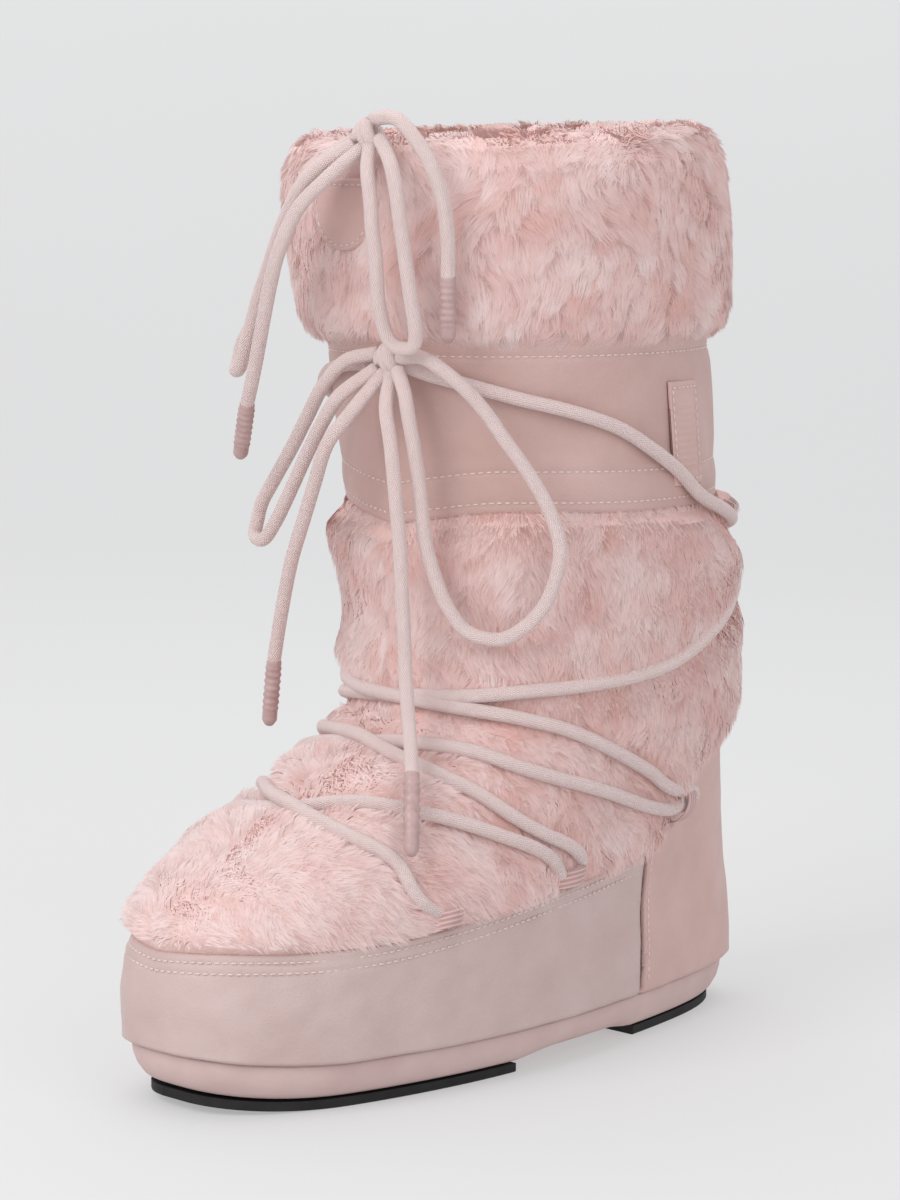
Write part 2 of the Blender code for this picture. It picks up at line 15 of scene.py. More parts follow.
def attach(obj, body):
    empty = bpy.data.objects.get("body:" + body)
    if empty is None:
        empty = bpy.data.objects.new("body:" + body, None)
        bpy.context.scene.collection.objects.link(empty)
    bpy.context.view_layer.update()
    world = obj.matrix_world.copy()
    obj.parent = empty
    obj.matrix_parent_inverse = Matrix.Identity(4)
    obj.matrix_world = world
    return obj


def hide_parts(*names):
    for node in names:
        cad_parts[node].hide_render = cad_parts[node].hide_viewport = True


MM = 0.001

# Sizes
GAP = 0.3              # left between pieces that meet
WALL = 3.0
SHEET_SEAT = 0.4
SHEET = 2.7
COUNTER_SEAT = 0.6
BAND = 1.8
LIP_TOP = 18.7
SOLE_BASE = 4.0
BED_TOE = 27.0
BED_HEEL = 34.0
INSOLE = 4.0
COLLAR = 356.0
CUFF_LOW = 287.0
TOE_SPRING = 5.0
SPRING_START = -95.0
SPRING_RUN = 55.0
ARCH = 2.5
COUNTER_TURN = 112.5
LACE = 5.5
TAG = 6.6
HEM = 1.8              # how far the band's hem laps over the fur
RAND_SEAMS = (3.4, 7.0)      # below the rand's top
COUNTER_SEAMS = (3.2, 6.6)   # below the counter's top
HEM_SEAM = 2.6         # above the band's lower edge
BAND_SEAM = 14.5       # above the band's lower edge
BAND_TOP_SEAM = 276.5
TAB_TURN = 103.0
TAB_REACH = 7.5
TAB_LOW = 224.0
TAB_HIGH = 265.0
TAB_MIDDLE = (TAB_LOW + TAB_HIGH) / 2.0
TAB_THICK = 1.3

# Outer face of the upper. Columns: height, front, back, half width at the ball, half width at the heel, power
SECTIONS = np.array((
    (4, -145, 145, 56, 50, 0.74),
    (14, -149, 148.5, 59.5, 51.5, 0.74),
    (35, -150, 149, 60.5, 52, 0.76),
    (52, -148, 147.5, 60, 52, 0.78),
    (72, -134, 145, 58, 52, 0.80),
    (92, -100, 142, 55, 53.5, 0.84),
    (112, -60, 139, 54, 56, 0.90),
    (135, -27, 135, 57, 60, 0.95),
    (165, -21, 129, 63, 64, 1.0),
    (215, -27, 124, 68, 68, 1.0),
    (280, -37, 117, 69.5, 69.5, 1.0),
    (356, -46, 108, 71, 71, 1.0),
    (376, -48, 106, 71, 71, 1.0),
))

# Edges of the panels. Columns: turn, height
RAND_TOP = np.array(((0, 56), (32, 60), (55, 61.5), (71, 65), (94, 72), (113, 76), (180, 76)), float)
COUNTER_TOP = np.array((
    (0, 110), (112, 110), (120, 111), (130, 116), (145, 126), (160, 129), (180, 130)), float)
GAITER_LOW = np.array(((0, 212), (40, 218), (90, 217), (140, 218), (180, 219)), float)

# The lace of one side, from its toe loop to its knot. Columns: turn, height, proud
LACE_ROUTE = (
    (66, 67.5, 3.6), (62, 70, 4.6), (57, 74, 7.6), (46, 86, 8.8), (34, 92, 8.8), (17, 97, 8.8), (0, 100, 8.8),
    (-22, 103, 8.8), (-45, 100, 8.8), (-66, 93, 8.8), (-80, 84.5, 8.2), (-86, 78.5, 4.9), (-88.8, 74.0, 3.7),
    (-91.6, 78.5, 4.9), (-85.5, 86, 8.6), (-76, 92.5, 8.8), (-67, 98, 8.8), (-49, 108, 8.8), (-33, 114, 8.8),
    (-17, 118, 8.8), (0, 121, 8.8), (17, 122, 8.8), (36, 121, 8.8), (60, 115, 8.8), (85, 106, 8.8),
    (104, 97, 8.6), (112, 94.2, 7.2), (118.5, 94.2, 6.6), (121.5, 97.2, 6.6), (118.5, 100.4, 6.6),
    (112, 101.6, 7.4), (105, 105.0, 8.8), (96, 112, 8.8), (85, 119, 8.8), (65, 129, 8.8), (44, 137, 8.8),
    (22, 140, 8.8), (0, 142, 8.8), (-25, 144, 8.8), (-47, 148, 8.8), (-66, 151, 8.8), (-86, 155, 8.8),
    (-112, 168, 8.8), (-140, 183, 8.8), (-160, 190, 8.8), (-180, 195, 8.8), (-200, 200, 8.8),
    (-220, 205, 8.4), (-240, 212, 8.0), (-255, 220, 6.0), (-263, 229, 5.2), (-275, 240, 5.2),
    (-286, 249, 5.2), (-300, 256, 5.2), (-314, 261, 5.2), (-327, 266, 5.2), (-341.5, 271, 6.2),
)
LACE_TAIL = ((-350, 273, 6.0), (-360, 274, 6.4))
# Where the two laces cross. Columns: place along the route's turn, height, which side's lace lies on top
CROSSINGS = ((0, 100, 1), (0, 121, -1), (0, 142, 1), (-180, 195, -1))

LOOPS = (("toe", 65, 4.2, 20, 7, False), ("instep", 90, 4.2, 20, 7, False), ("ankle", 116.5, 19, 20, 6, True))
LOOP_THICK = 1.4
LOOP_ARCH = 7.0

BOWS = {
    "drawstring_loop_left": (
        (10.4, -61.6, 357.2), (4, -68, 350), (-4, -73, 338), (-14, -73, 324), (-27, -69, 309),
        (-40, -62, 296), (-50, -58, 285), (-56, -58, 276), (-55, -61, 269), (-48, -66, 269), (-40, -69, 279),
        (-30, -72, 296), (-19, -75, 312), (-9, -77, 327), (-1, -76, 340), (6, -72, 348), (11.5, -65.4, 353.6),
    ),
    "drawstring_end_left": (
        (17, -63.6, 351.6), (12, -75, 343), (3, -82, 331), (-5, -83, 317), (-14, -80, 302), (-23, -76, 286),
        (-33, -71, 270), (-43, -66, 256),
    ),
    "drawstring_loop_right": (
        (23.2, -63.2, 352.6), (26, -67, 344), (28, -67, 330), (28, -65, 315), (26, -62, 300), (25, -58, 288),
        (29, -55, 280), (36, -53, 280), (38, -54, 288), (38, -57, 302), (38, -60, 318), (38, -63, 334),
        (36, -64, 347), (28.4, -60.2, 357.2),
    ),
    "drawstring_end_right": (
        (22, -58.8, 368.3), (32, -60, 366), (42, -58, 358), (48, -55, 347), (50, -51, 334), (49, -48, 320),
        (47, -46, 306),
    ),
    "lace_loop_left": (
        (5.5, -46.6, 278.4), (-2, -50.5, 275), (-13, -53, 265), (-25, -50, 253), (-38, -47, 239),
        (-52, -44, 225), (-62, -43, 212), (-63, -45, 203), (-55, -48, 201), (-45, -50, 209), (-34, -52, 222),
        (-23, -54, 236), (-12, -56, 249), (-2, -57, 260), (7.6, -49.6, 269.6),
    ),
    "lace_end_left": (
        (12.6, -47.6, 267.4), (6, -56, 256), (-4, -60, 243), (-14, -57, 228), (-24, -54, 212),
        (-34, -51, 196), (-43, -47, 180), (-50, -44, 165), (-55, -42, 152),
    ),
    "lace_loop_right": (
        (23.6, -45.2, 276.4), (32, -46, 277), (42, -40, 270), (50, -31, 258), (56, -25, 246), (62, -18, 233),
        (67, -12, 219), (70, -9, 204), (67, -10, 189), (60, -15, 176), (50, -22, 169), (41, -28, 171),
        (34, -33, 181), (30, -37, 195), (28, -40, 210), (28, -42, 226), (28, -45, 242), (27, -48, 259),
        (23.2, -47.2, 270.2),
    ),
    "lace_end_right": (
        (17.2, -46.4, 267.2), (20, -52, 255), (23, -52, 240), (24, -51, 224), (24, -49, 208), (24, -48, 192),
        (24, -47, 176), (24, -46, 161), (27, -48, 147), (35, -54, 132), (43, -61, 121),
    ),
}
TAGS = {
    "drawstring_end_left": (-55, -59, 235),
    "drawstring_end_right": (44, -43, 283),
    "lace_end_left": (-58, -42, 127),
    "lace_end_right": (58, -76, 95),
}
KNOTS = {"drawstring": (19, -59.3, 359.2), "lace": (14.6, -44.3, 275)}

PATCH_HEIGHT = 331.0
PATCH_SIZE = 27.0
PATCH_PROUD = 12.3
PATCH_SEAM = 0.84      # place of the patch's seam, as a share of its reach
SIDES = ((1, "left"), (-1, "right"))

# Settings of the two coats. Length and width of a blade, how far it rises, how much the pile swirls, and how
# much the tips pull together into clumps
LOWER_COAT = {
    "count": 60500, "clumps": 800, "length": 8.0, "width": 0.44, "rise": 0.40, "swirl": 0.55, "pull": 0.30}
CUFF_COAT = {
    "count": 60500, "clumps": 620, "length": 9.4, "width": 0.46, "rise": 0.42, "swirl": 0.80, "pull": 0.34}

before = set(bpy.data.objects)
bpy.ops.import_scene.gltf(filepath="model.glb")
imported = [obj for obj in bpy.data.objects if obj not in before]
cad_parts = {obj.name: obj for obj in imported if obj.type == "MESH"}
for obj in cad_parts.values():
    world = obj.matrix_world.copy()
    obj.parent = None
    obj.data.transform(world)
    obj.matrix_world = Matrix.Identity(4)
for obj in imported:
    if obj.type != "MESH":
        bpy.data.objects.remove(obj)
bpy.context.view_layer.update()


# Surface of the boot

def smooth_step(low, high, value):
    part = np.clip((value - low) / (high - low), 0.0, 1.0)
    return part * part * (3.0 - 2.0 * part)


def curve_through(places, stations, values):
    """A smooth curve through the stations that overshoots none of them."""
    gap = np.diff(stations)
    grade = np.diff(values) / gap
    slope = np.zeros(len(stations))
    same = grade[:-1] * grade[1:] > 0
    slope[1:-1][same] = 2.0 * (grade[:-1] * grade[1:])[same] / (grade[:-1] + grade[1:])[same]
    slope[0], slope[-1] = grade[0], grade[-1]
    place = np.clip(places, stations[0], stations[-1])
    k = np.clip(np.searchsorted(stations, place, side="right") - 1, 0, len(gap) - 1)
    s = (place - stations[k]) / gap[k]
    ease = s * s * (3.0 - 2.0 * s)
    lean = s * (1.0 - s) * gap[k] * (slope[k] * (1.0 - s) - slope[k + 1] * s)
    return values[k] + (values[k + 1] - values[k]) * ease + lean


def folded(turns):
    """Turns from 0 at the toe to 180 at the heel, on either side."""
    return np.abs((np.asarray(turns, float) + 180.0) % 360.0 - 180.0)


def edge(table, turns):
    return curve_through(folded(turns), table[:, 0], table[:, 1])


def sole_rise(y):
    return TOE_SPRING * np.clip((SPRING_START - y) / SPRING_RUN, 0.0, 1.0) ** 2


def base_skin(turn, height):
    columns = (curve_through(height, SECTIONS[:, 0], SECTIONS[:, k]) for k in range(1, 6))
    front, back, ball, heel, power = columns
    along = (1.0 - np.cos(turn)) / 2.0
    half = ball + (heel - ball) * smooth_step(0.35, 0.85, along)
    y = front + (back - front) * along
    x = half * np.sign(np.sin(turn)) * np.abs(np.sin(turn)) ** power
    z = height + sole_rise(y) * (1.0 - smooth_step(60.0, 110.0, height))
    return np.stack((x, y, z), axis=-1)


def skin(turns, heights, proud=0.0):
    """Points on the upper's outer face, moved out along its normal by proud."""
    turn, height, out = np.broadcast_arrays(
        np.radians(np.asarray(turns, float)), np.asarray(heights, float), np.asarray(proud, float))
    step = 0.001
    across = base_skin(turn + step, height) - base_skin(turn - step, height)
    up = base_skin(turn, height + 0.5) - base_skin(turn, height - 0.5)
    normal = np.cross(across, up)
    normal /= np.linalg.norm(normal, axis=-1, keepdims=True)
    return base_skin(turn, height) + normal * out[..., None]


def unit(vectors):
    return vectors / np.maximum(np.linalg.norm(vectors, axis=-1, keepdims=True), 1e-9)


def lengths_along(line):
    """How far along a line each of its points is."""
    return np.concatenate(([0.0], np.cumsum(np.linalg.norm(np.diff(line, axis=0), axis=1))))


def points_at(places, along, line):
    """A line's points at these places along it."""
    return np.stack([np.interp(places, along, column) for column in line.T], axis=-1)


def waves(points, seed, shortest, longest, count=14):
    """A smooth seeded field, about -1 to 1, from waves of mixed directions and lengths."""
    rng = np.random.default_rng(seed)
    ways = unit(rng.normal(size=(count, 3)))
    lengths = rng.uniform(shortest, longest, count)
    phases = rng.uniform(0.0, 2.0 * np.pi, count)
    total = np.zeros(points.shape[:-1])
    for way, length, phase in zip(ways, lengths, phases):
        total += np.sin(points @ way * (2.0 * np.pi / length) + phase)
    return total / math.sqrt(count / 2.0) / 1.6


# Materials

def srgb(red, green, blue):
    parts = [v / 255.0 for v in (red, green, blue)]
    return tuple(v / 12.92 if v <= 0.04045 else ((v + 0.055) / 1.055) ** 2.4 for v in parts) + (1.0,)


class Nodes:
    """A short way to write a material's nodes."""

    def __init__(self, name, roughness=0.6, sheen=0.0, coat=0.0, coat_roughness=0.3, specular=0.5,
                 sheen_roughness=0.5):
        self.material = bpy.data.materials.new(name)
        self.material.use_nodes = True
        self.tree = self.material.node_tree
        self.shader = self.tree.nodes["Principled BSDF"]
        for socket, value in (("Roughness", roughness), ("Sheen Weight", sheen), ("Coat Weight", coat),
                              ("Coat Roughness", coat_roughness), ("Specular IOR Level", specular),
                              ("Sheen Roughness", sheen_roughness)):
            self.shader.inputs[socket].default_value = value

    def put(self, socket, value):
        if hasattr(value, "links"):
            self.tree.links.new(value, socket)
        else:
            socket.default_value = value

    def node(self, kind, **inputs):
        """A new node, with a value or a link for each input named."""
        made = self.tree.nodes.new("ShaderNode" + kind)
        for name, value in inputs.items():
            self.put(made.inputs[name], value)
        return made

    def math(self, operation, *values):
        node = self.node("Math")
        node.operation = operation
        for socket, value in zip(node.inputs, values):
            self.put(socket, value)
        return node.outputs[0]

    def attribute(self, name):
        node = self.node("Attribute")
        node.attribute_name = name
        return node.outputs["Fac"]

    def place(self):
        """The point on the object, in metres."""
        return self.node("TexCoord").outputs["Object"]

    def noise(self, scale, detail=2.0, roughness=0.5):
        node = self.node("TexNoise", Vector=self.place(), Scale=scale, Detail=detail, Roughness=roughness)
        return node.outputs["Fac"]

    def cells(self, scale):
        node = self.node("TexVoronoi", Vector=self.place(), Scale=scale)
        node.feature = "SMOOTH_F1"
        return node.outputs["Distance"]

    def ramp(self, value, stops):
        """Colours along a value. Each stop is its place, red, green and blue."""
        node = self.node("ValToRGB", Fac=value)
        band = node.color_ramp
        while len(band.elements) < len(stops):
            band.elements.new(0.5)
        for element, (place, *tone) in zip(band.elements, stops):
            element.position = place
            element.color = srgb(*tone)
        return node.outputs["Color"]

    def mix(self, share, first, second):
        node = self.node("Mix")
        node.data_type = "RGBA"
        for k, value in ((0, share), (6, first), (7, second)):
            self.put(node.inputs[k], value)
        return node.outputs[2]

    def colour(self, value):
        self.put(self.shader.inputs["Base Color"], value)

    def rough(self, value):
        self.put(self.shader.inputs["Roughness"], value)

    def bump(self, height, distance):
        """Relief of this depth in millimetres."""
        node = self.node("Bump", Distance=distance * MM, Height=height)
        self.put(self.shader.inputs["Normal"], node.outputs["Normal"])

    def glow(self, colour, strength):
        self.shader.inputs["Emission Color"].default_value = colour
        self.shader.inputs["Emission Strength"].default_value = strength


def fur_material():
    made = Nodes("fur_pile", roughness=0.88, sheen=0.25, specular=0.2, sheen_roughness=0.6)
    along = made.attribute("along")
    tone = made.attribute("tone")
    # Both ramps darken from tip to root: painted shade at the roots, where the blades' shadows on each other
    # would fall
    pale = made.ramp(along, (
        (0.0, 212, 179, 174), (0.45, 221, 194, 190),
        (0.8, 226, 203, 200), (1.0, 230, 210, 208)))
    deep = made.ramp(along, (
        (0.0, 198, 144, 137), (0.45, 208, 157, 149),
        (0.8, 214, 167, 160), (1.0, 220, 177, 170)))
    # Painted light: a faint glow of the fur's own that lifts its shaded side
    made.glow(srgb(232, 200, 197), 0.02)
    made.colour(made.mix(tone, deep, pale))
    return made.material


def leather_material(name, low, high, fine=0.10):
    """Smooth synthetic leather with a fine grain, between two near tones."""
    made = Nodes(name, roughness=0.5, coat=0.06, coat_roughness=0.45, specular=0.4)
    made.colour(made.ramp(made.noise(38.0, 4.0, 0.55), ((0.3, *low), (0.7, *high))))
    grain = made.cells(1500.0)
    soft = made.noise(260.0, 3.0)
    relief = made.math("ADD", made.math("MULTIPLY", grain, 0.7), made.math("MULTIPLY", soft, 0.9))
    made.bump(relief, fine * 1.6)
    made.rough(made.math("MULTIPLY_ADD", made.noise(300.0, 2.0), 0.16, 0.42))
    return made.material


def cord_material():
    """Round braid, from each cord's own length and turn."""
    made = Nodes("braided_cord", roughness=0.72, sheen=0.3, specular=0.3, sheen_roughness=0.5)
    along = made.attribute("cord_length")
    around = made.attribute("cord_turn")
    turns = made.math("MULTIPLY", around, 5.0)
    steps = made.math("MULTIPLY", along, 1.0 / 3.4)
    both = []
    for sign in (1.0, -1.0):
        angle = made.math("ADD", steps, made.math("MULTIPLY", turns, sign))
        both.append(made.math("SINE", made.math("MULTIPLY", angle, 2.0 * math.pi)))
    weave = made.math("MULTIPLY", both[0], both[1])
    rib = made.math("ABSOLUTE", weave)
    made.bump(rib, 0.6)
    # The colour follows the braid's relief, darker in its grooves: painted shade, with random speckle from
    # the noise
    shade = made.math("MULTIPLY_ADD", rib, 0.75, made.math("MULTIPLY", made.noise(300.0, 2.0), 0.4))
    # Painted light: a faint glow of the cord's own that brightens it
    made.glow(srgb(240, 214, 211), 0.10)
    made.colour(made.ramp(shade, (
        (0.0, 224, 190, 185), (0.35, 242, 216, 212), (0.9, 251, 232, 229))))
    return made.material


def webbing_material():
    made = Nodes("webbing", roughness=0.75, sheen=0.25, specular=0.3)
    rib = made.math("SINE", made.math("MULTIPLY", made.attribute("rib"), 2.0 * math.pi))
    made.bump(rib, 0.18)
    # The colour follows the ribs' relief, darker in their grooves: painted shade
    made.colour(made.ramp(made.math("MULTIPLY_ADD", rib, 0.4, 0.5), (
        (0.1, 178, 142, 138), (0.9, 214, 180, 176))))
    return made.material


def toned(name, scale, detail, low, high, **finish):
    """A material whose colour wanders between two near tones."""
    made = Nodes(name, **finish)
    made.colour(made.ramp(made.noise(scale, detail), (low, high)))
    return made


def foam_material():
    made = toned("sole_foam", 45.0, 3.0, (0.3, 196, 168, 165), (0.7, 208, 182, 178),
                 roughness=0.55, specular=0.4)
    made.bump(made.noise(1200.0, 3.0), 0.08)
    made.rough(made.math("MULTIPLY_ADD", made.noise(120.0, 2.0), 0.12, 0.5))
    return made.material


def fleece_material():
    made = toned("fleece_lining", 420.0, 3.0, (0.3, 196, 150, 144), (0.7, 226, 188, 183),
                 roughness=0.95, sheen=0.4, specular=0.1)
    lumps = made.cells(420.0)
    made.bump(made.math("ADD", made.math("MULTIPLY", lumps, 0.8), made.noise(1100.0, 3.0)), 1.1)
    return made.material


def fine_material(made, scale, detail, depth):
    made.bump(made.noise(scale, detail), depth)
    return made.material


LEATHER = leather_material("smooth_panel", (192, 167, 162), (200, 178, 174))
LEATHER_COUNTER = leather_material("smooth_counter", (198, 163, 156), (206, 173, 167))
LEATHER_BAND = leather_material("smooth_gaiter", (191, 157, 150), (199, 167, 161), 0.13)
FUR = fur_material()
BACKING = fine_material(toned(
    "fur_backing", 220.0, 3.0, (0.3, 212, 176, 170), (0.7, 222, 190, 185),
    roughness=0.95, specular=0.1), 900.0, 3.0, 0.6)
FOAM = foam_material()
RUBBER = fine_material(toned(
    "tread_rubber", 90.0, 4.0, (0.3, 24, 23, 24), (0.75, 40, 38, 39),
    roughness=0.7, specular=0.35), 1500.0, 3.0, 0.12)
THREAD = fine_material(toned(
    "thread", 900.0, 2.0, (0.3, 212, 190, 186), (0.7, 228, 208, 204),
    roughness=0.6, sheen=0.2), 4000.0, 2.0, 0.08)
CORD = cord_material()
WEBBING = webbing_material()
TAG_MATERIAL = fine_material(toned(
    "moulded_tag", 200.0, 2.0, (0.3, 172, 142, 140), (0.7, 188, 160, 157),
    roughness=0.42, coat=0.1, specular=0.45), 2000.0, 2.0, 0.04)
FLEECE = fleece_material()


# Meshes

def add_piece(name, points, faces, material, replaces=(), slot="smooth", attributes=None, normals=None,
              flat=False):
    """A mesh from points in millimetres and faces that all have one number of corners, riding on the boot."""
    points = np.asarray(points, float).reshape(-1, 3)
    faces = np.asarray(faces, np.int32)
    mesh = bpy.data.meshes.new(name)
    mesh.vertices.add(len(points))
    mesh.vertices.foreach_set("co", (points * MM).astype(np.float32).ravel())
    corners = faces.shape[1]
    mesh.loops.add(faces.size)
    mesh.loops.foreach_set("vertex_index", faces.ravel())
    mesh.polygons.add(len(faces))
    mesh.polygons.foreach_set("loop_start", np.arange(len(faces), dtype=np.int32) * corners)
    mesh.update(calc_edges=True)
    mesh.validate()
    mesh.polygons.foreach_set("use_smooth", np.full(len(mesh.polygons), not flat))
    for key, values in (attributes or {}).items():
        layer = mesh.attributes.new(key, "FLOAT", "POINT")
        layer.data.foreach_set("value", np.asarray(values, np.float32).ravel())
    mesh.materials.append(material)
    if normals is not None:
        mesh.normals_split_custom_set_from_vertices(normals)
    made = bpy.data.objects.new(name, mesh)
    bpy.context.scene.collection.objects.link(made)
    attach(made, "root")
    if replaces:
        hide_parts(*replaces)
    return made


def grid_faces(rows, columns, wrap_rows=False, wrap_columns=False):
    """Quads over a grid of points stored row by row."""
    r = np.arange(rows if wrap_rows else rows - 1)
    c = np.arange(columns if wrap_columns else columns - 1)
    r, c = np.meshgrid(r, c, indexing="ij")
    r2, c2 = (r + 1) % rows, (c + 1) % columns
    quads = np.stack((r * columns + c, r * columns + c2, r2 * columns + c2, r2 * columns + c), axis=-1)
    return quads.reshape(-1, 4)


def add_grid(name, grid, material, replaces, slot="smooth", wrap_rows=False, wrap_columns=True, **more):
    """A piece from a grid of points."""
    faces = grid_faces(*grid.shape[:2], wrap_rows, wrap_columns)
    add_piece(name, grid, faces, material, replaces, slot, **more)


def tube_frames(line):
    """Unit side vectors along a line that turn as little as they can."""
    ways = unit(np.gradient(line, axis=0))
    start = np.cross(ways[0], (0.0, 0.0, 1.0))
    if np.linalg.norm(start) < 0.1:
        start = np.cross(ways[0], (1.0, 0.0, 0.0))
    side = unit(start)
    sides = [side]
    for way in ways[1:]:
        side = unit(side - way * float(side @ way))
        sides.append(side)
    sides = np.array(sides)
    return ways, sides, np.cross(ways, sides)


def tube_mesh(line, radius, around=12):
    """Points and faces of a round tube with rounded ends, and how far along and around each point is."""
    ways, sides, ups = tube_frames(line)
    lengths = lengths_along(line)
    angles = np.linspace(0.0, 2.0 * np.pi, around, endpoint=False)
    radii = np.broadcast_to(np.asarray(radius, float), (len(line),))
    ring = np.cos(angles)[:, None] * sides[:, None] + np.sin(angles)[:, None] * ups[:, None]
    points = line[:, None] + ring * radii[:, None, None]
    rows = [line[0] + ring[0] * 0.6 * radii[0] - ways[0] * radii[0] * 0.3, *points,
            line[-1] + ring[-1] * 0.6 * radii[-1] + ways[-1] * radii[-1] * 0.3]
    grid = np.array(rows)
    along = np.concatenate(([lengths[0]], lengths, [lengths[-1]]))
    faces = grid_faces(len(grid), around, wrap_columns=True)
    flat = grid.reshape(-1, 3)
    ends = []
    for row, way in ((0, -1), (len(grid) - 1, 1)):
        base = row * around
        for k in range(1, around - 1, 2):
            quad = [base, base + k, base + k + 1, base + (k + 2) % around]
            ends.append(quad if way > 0 else quad[::-1])
    faces = np.concatenate((faces, np.array(ends)))
    around_share = np.abs(np.tile((np.arange(around) / around + 0.5) % 1.0 - 0.5, len(grid)) * 2.0)
    return flat, faces, np.repeat(along, around), around_share


def evenly(points, pitch, smooth):
    """Points a fixed pitch apart along a smooth curve through the route."""
    route = np.asarray(points, float)
    stations = np.arange(len(route))
    steps = np.linspace(0, len(route) - 1, 16 * len(route))
    fine = np.stack([curve_through(steps, stations, route[:, k]) for k in range(3)], axis=-1)
    along = lengths_along(fine)
    places = np.linspace(0.0, along[-1], max(3, round(along[-1] / pitch) + 1))
    line = points_at(places, along, fine)
    for _ in range(smooth):
        line[1:-1] = line[1:-1] * 0.5 + (line[:-2] + line[2:]) * 0.25
    return line


# Cords

def add_cord(name, line, replaces, radius=LACE / 2.0):
    points, faces, along, around = tube_mesh(line, radius)
    return add_piece(name, points, faces, CORD, replaces, "cord", {"cord_length": along, "cord_turn": around})


def lace_line(side):
    """Centre line of one side's lace. Where the two cross, one lies over the other."""
    route = LACE_ROUTE + (LACE_TAIL if side < 0 else ())
    table = np.array(route, float)
    stations = np.arange(len(table))
    steps = np.linspace(0, len(table) - 1, 14 * len(table))
    turn, height, proud = (curve_through(steps, stations, table[:, k]) for k in range(3))
    for place, level, top in CROSSINGS:
        near = np.exp(-((turn - place) / 13.0) ** 2 - ((height - level) / 12.0) ** 2)
        proud = proud + near * (2.9 if top == side else -1.9)
    line = skin(turn * side, height, proud)
    knot = np.array(KNOTS["lace"], float)
    line = np.vstack((line, knot + (line[-1] - knot) * 0.25))
    return evenly(line[::3], 1.5, smooth=5)


def make_laces():
    lines = []
    for side, label in SIDES:
        lines.append(lace_line(side))
        add_cord("lace_" + label, lines[-1], ("lace_crossing_toe", "lace_crossing_instep", "lace_wrap"))
    return lines


def bow_line(name):
    """A bow cord's line, run on into its knot and, on an end, up to its tag."""
    route = [np.array(p, float) for p in BOWS[name]]
    knot = np.array(KNOTS[name.split("_")[0]], float)
    route[0] = route[0] + (knot - route[0]) * 0.35
    if "loop" in name:
        route[-1] = route[-1] + (knot - route[-1]) * 0.35
    return evenly(route, 1.5, smooth=6)


def tag_profile():
    """Radius of a ribbed tag along its length, as shares of its length and of its radius."""
    stations = np.linspace(0.0, 1.0, 41)
    radius = np.full(len(stations), 0.9)
    ribs = 0.5 + 0.5 * np.cos((stations - 0.14) * 2.0 * np.pi * 6.0 / 0.62)
    inside = (stations > 0.14) & (stations < 0.76)
    radius = np.where(inside, 0.86 + 0.16 * ribs, radius)
    radius *= 1.0 - 0.35 * smooth_step(0.93, 1.0, stations) - 0.22 * (1.0 - smooth_step(0.0, 0.05, stations))
    return stations, radius


def make_tag(cord, line):
    tip = np.array(TAGS[cord], float)
    start = line[-1] - unit(line[-1] - line[-3]) * 2.0
    stations, shape = tag_profile()
    tag_line = start + (tip - start) * stations[:, None]
    points, faces, _, _ = tube_mesh(tag_line, shape * TAG / 2.0, 18)
    name = cord.replace("end", "tag")
    return add_piece(name + "_moulded", points, faces, TAG_MATERIAL, (name,), "tag")


def make_bows():
    for name in BOWS:
        line = bow_line(name)
        cord = add_cord(name + "_cord", line, (name,))
        pieces = [make_tag(name, line)] if name in TAGS else []


def make_knot(name, centre):
    """The cord's wraps that hold a bow: one band over the loops, with a second part behind it."""
    wraps, wide, tall, drift = 2.15, 3.3, 4.6, 5.2
    t = np.linspace(0.0, 2.0 * np.pi * wraps, 90)
    swing = 1.0 - 0.12 * np.sin(t * 0.5)
    lean = np.array((math.cos(math.radians(28)), 0.0, math.sin(math.radians(28))))
    across = np.array((0.0, -1.0, 0.0))
    rise = np.array((-lean[2], 0.0, lean[0]))
    run = (t / t[-1] - 0.5) * drift
    line = (np.array(centre, float) + lean * run[:, None] + across * (np.cos(t) * wide * swing)[:, None]
            + rise * (np.sin(t) * tall * swing)[:, None])
    add_cord(name + "_knot_wraps", evenly(line, 1.2, smooth=3), (name + "_knot",), 2.6)


# Sheets

def add_sheet(node, turns, low, high, seat, thick, material, rows, relief, rounding, closed=False):
    """A sheet that follows the upper between two edges, with rounded edges and relief on its face."""
    levels = np.linspace(0.0, 1.0, rows)
    heights = low + (high - low) * levels[:, None]
    out = np.full(heights.shape, seat + thick, float)
    out += relief(np.broadcast_to(turns, heights.shape), heights)
    rim = np.minimum(heights - low, high - heights)
    curl = np.clip(1.0 - rim / rounding, 0.0, 1.0)
    out -= rounding * (1.0 - np.sqrt(np.clip(1.0 - curl ** 2, 0.0, 1.0)))
    if not closed:
        side = np.minimum(turns - turns[0], turns[-1] - turns) * 1.2
        fold = np.clip(1.0 - side / rounding, 0.0, 1.0)[None, :]
        out -= rounding * (1.0 - np.sqrt(np.clip(1.0 - fold ** 2, 0.0, 1.0)))
    face = skin(turns, heights, out)
    back_heights = heights[::-1][:: max(1, rows // 5)]
    back = skin(turns, back_heights, seat)
    grid = np.concatenate((face, back))
    if not closed:
        middle = grid.mean(axis=0)
        start = grid[:, :1] * 0.5 + middle[:1] * 0.5
        end = grid[:, -1:] * 0.5 + middle[-1:] * 0.5
        grid = np.concatenate((start, grid, end), axis=1)
    add_grid(node + "_leather", grid, material, (node,), wrap_rows=True, wrap_columns=closed)


def turn_line(start, end, step):
    return np.linspace(start, end, max(2, int(round((end - start) / step)) + 1))


def groove(distance, width, depth):
    return -depth * np.exp(-(distance / width) ** 2)


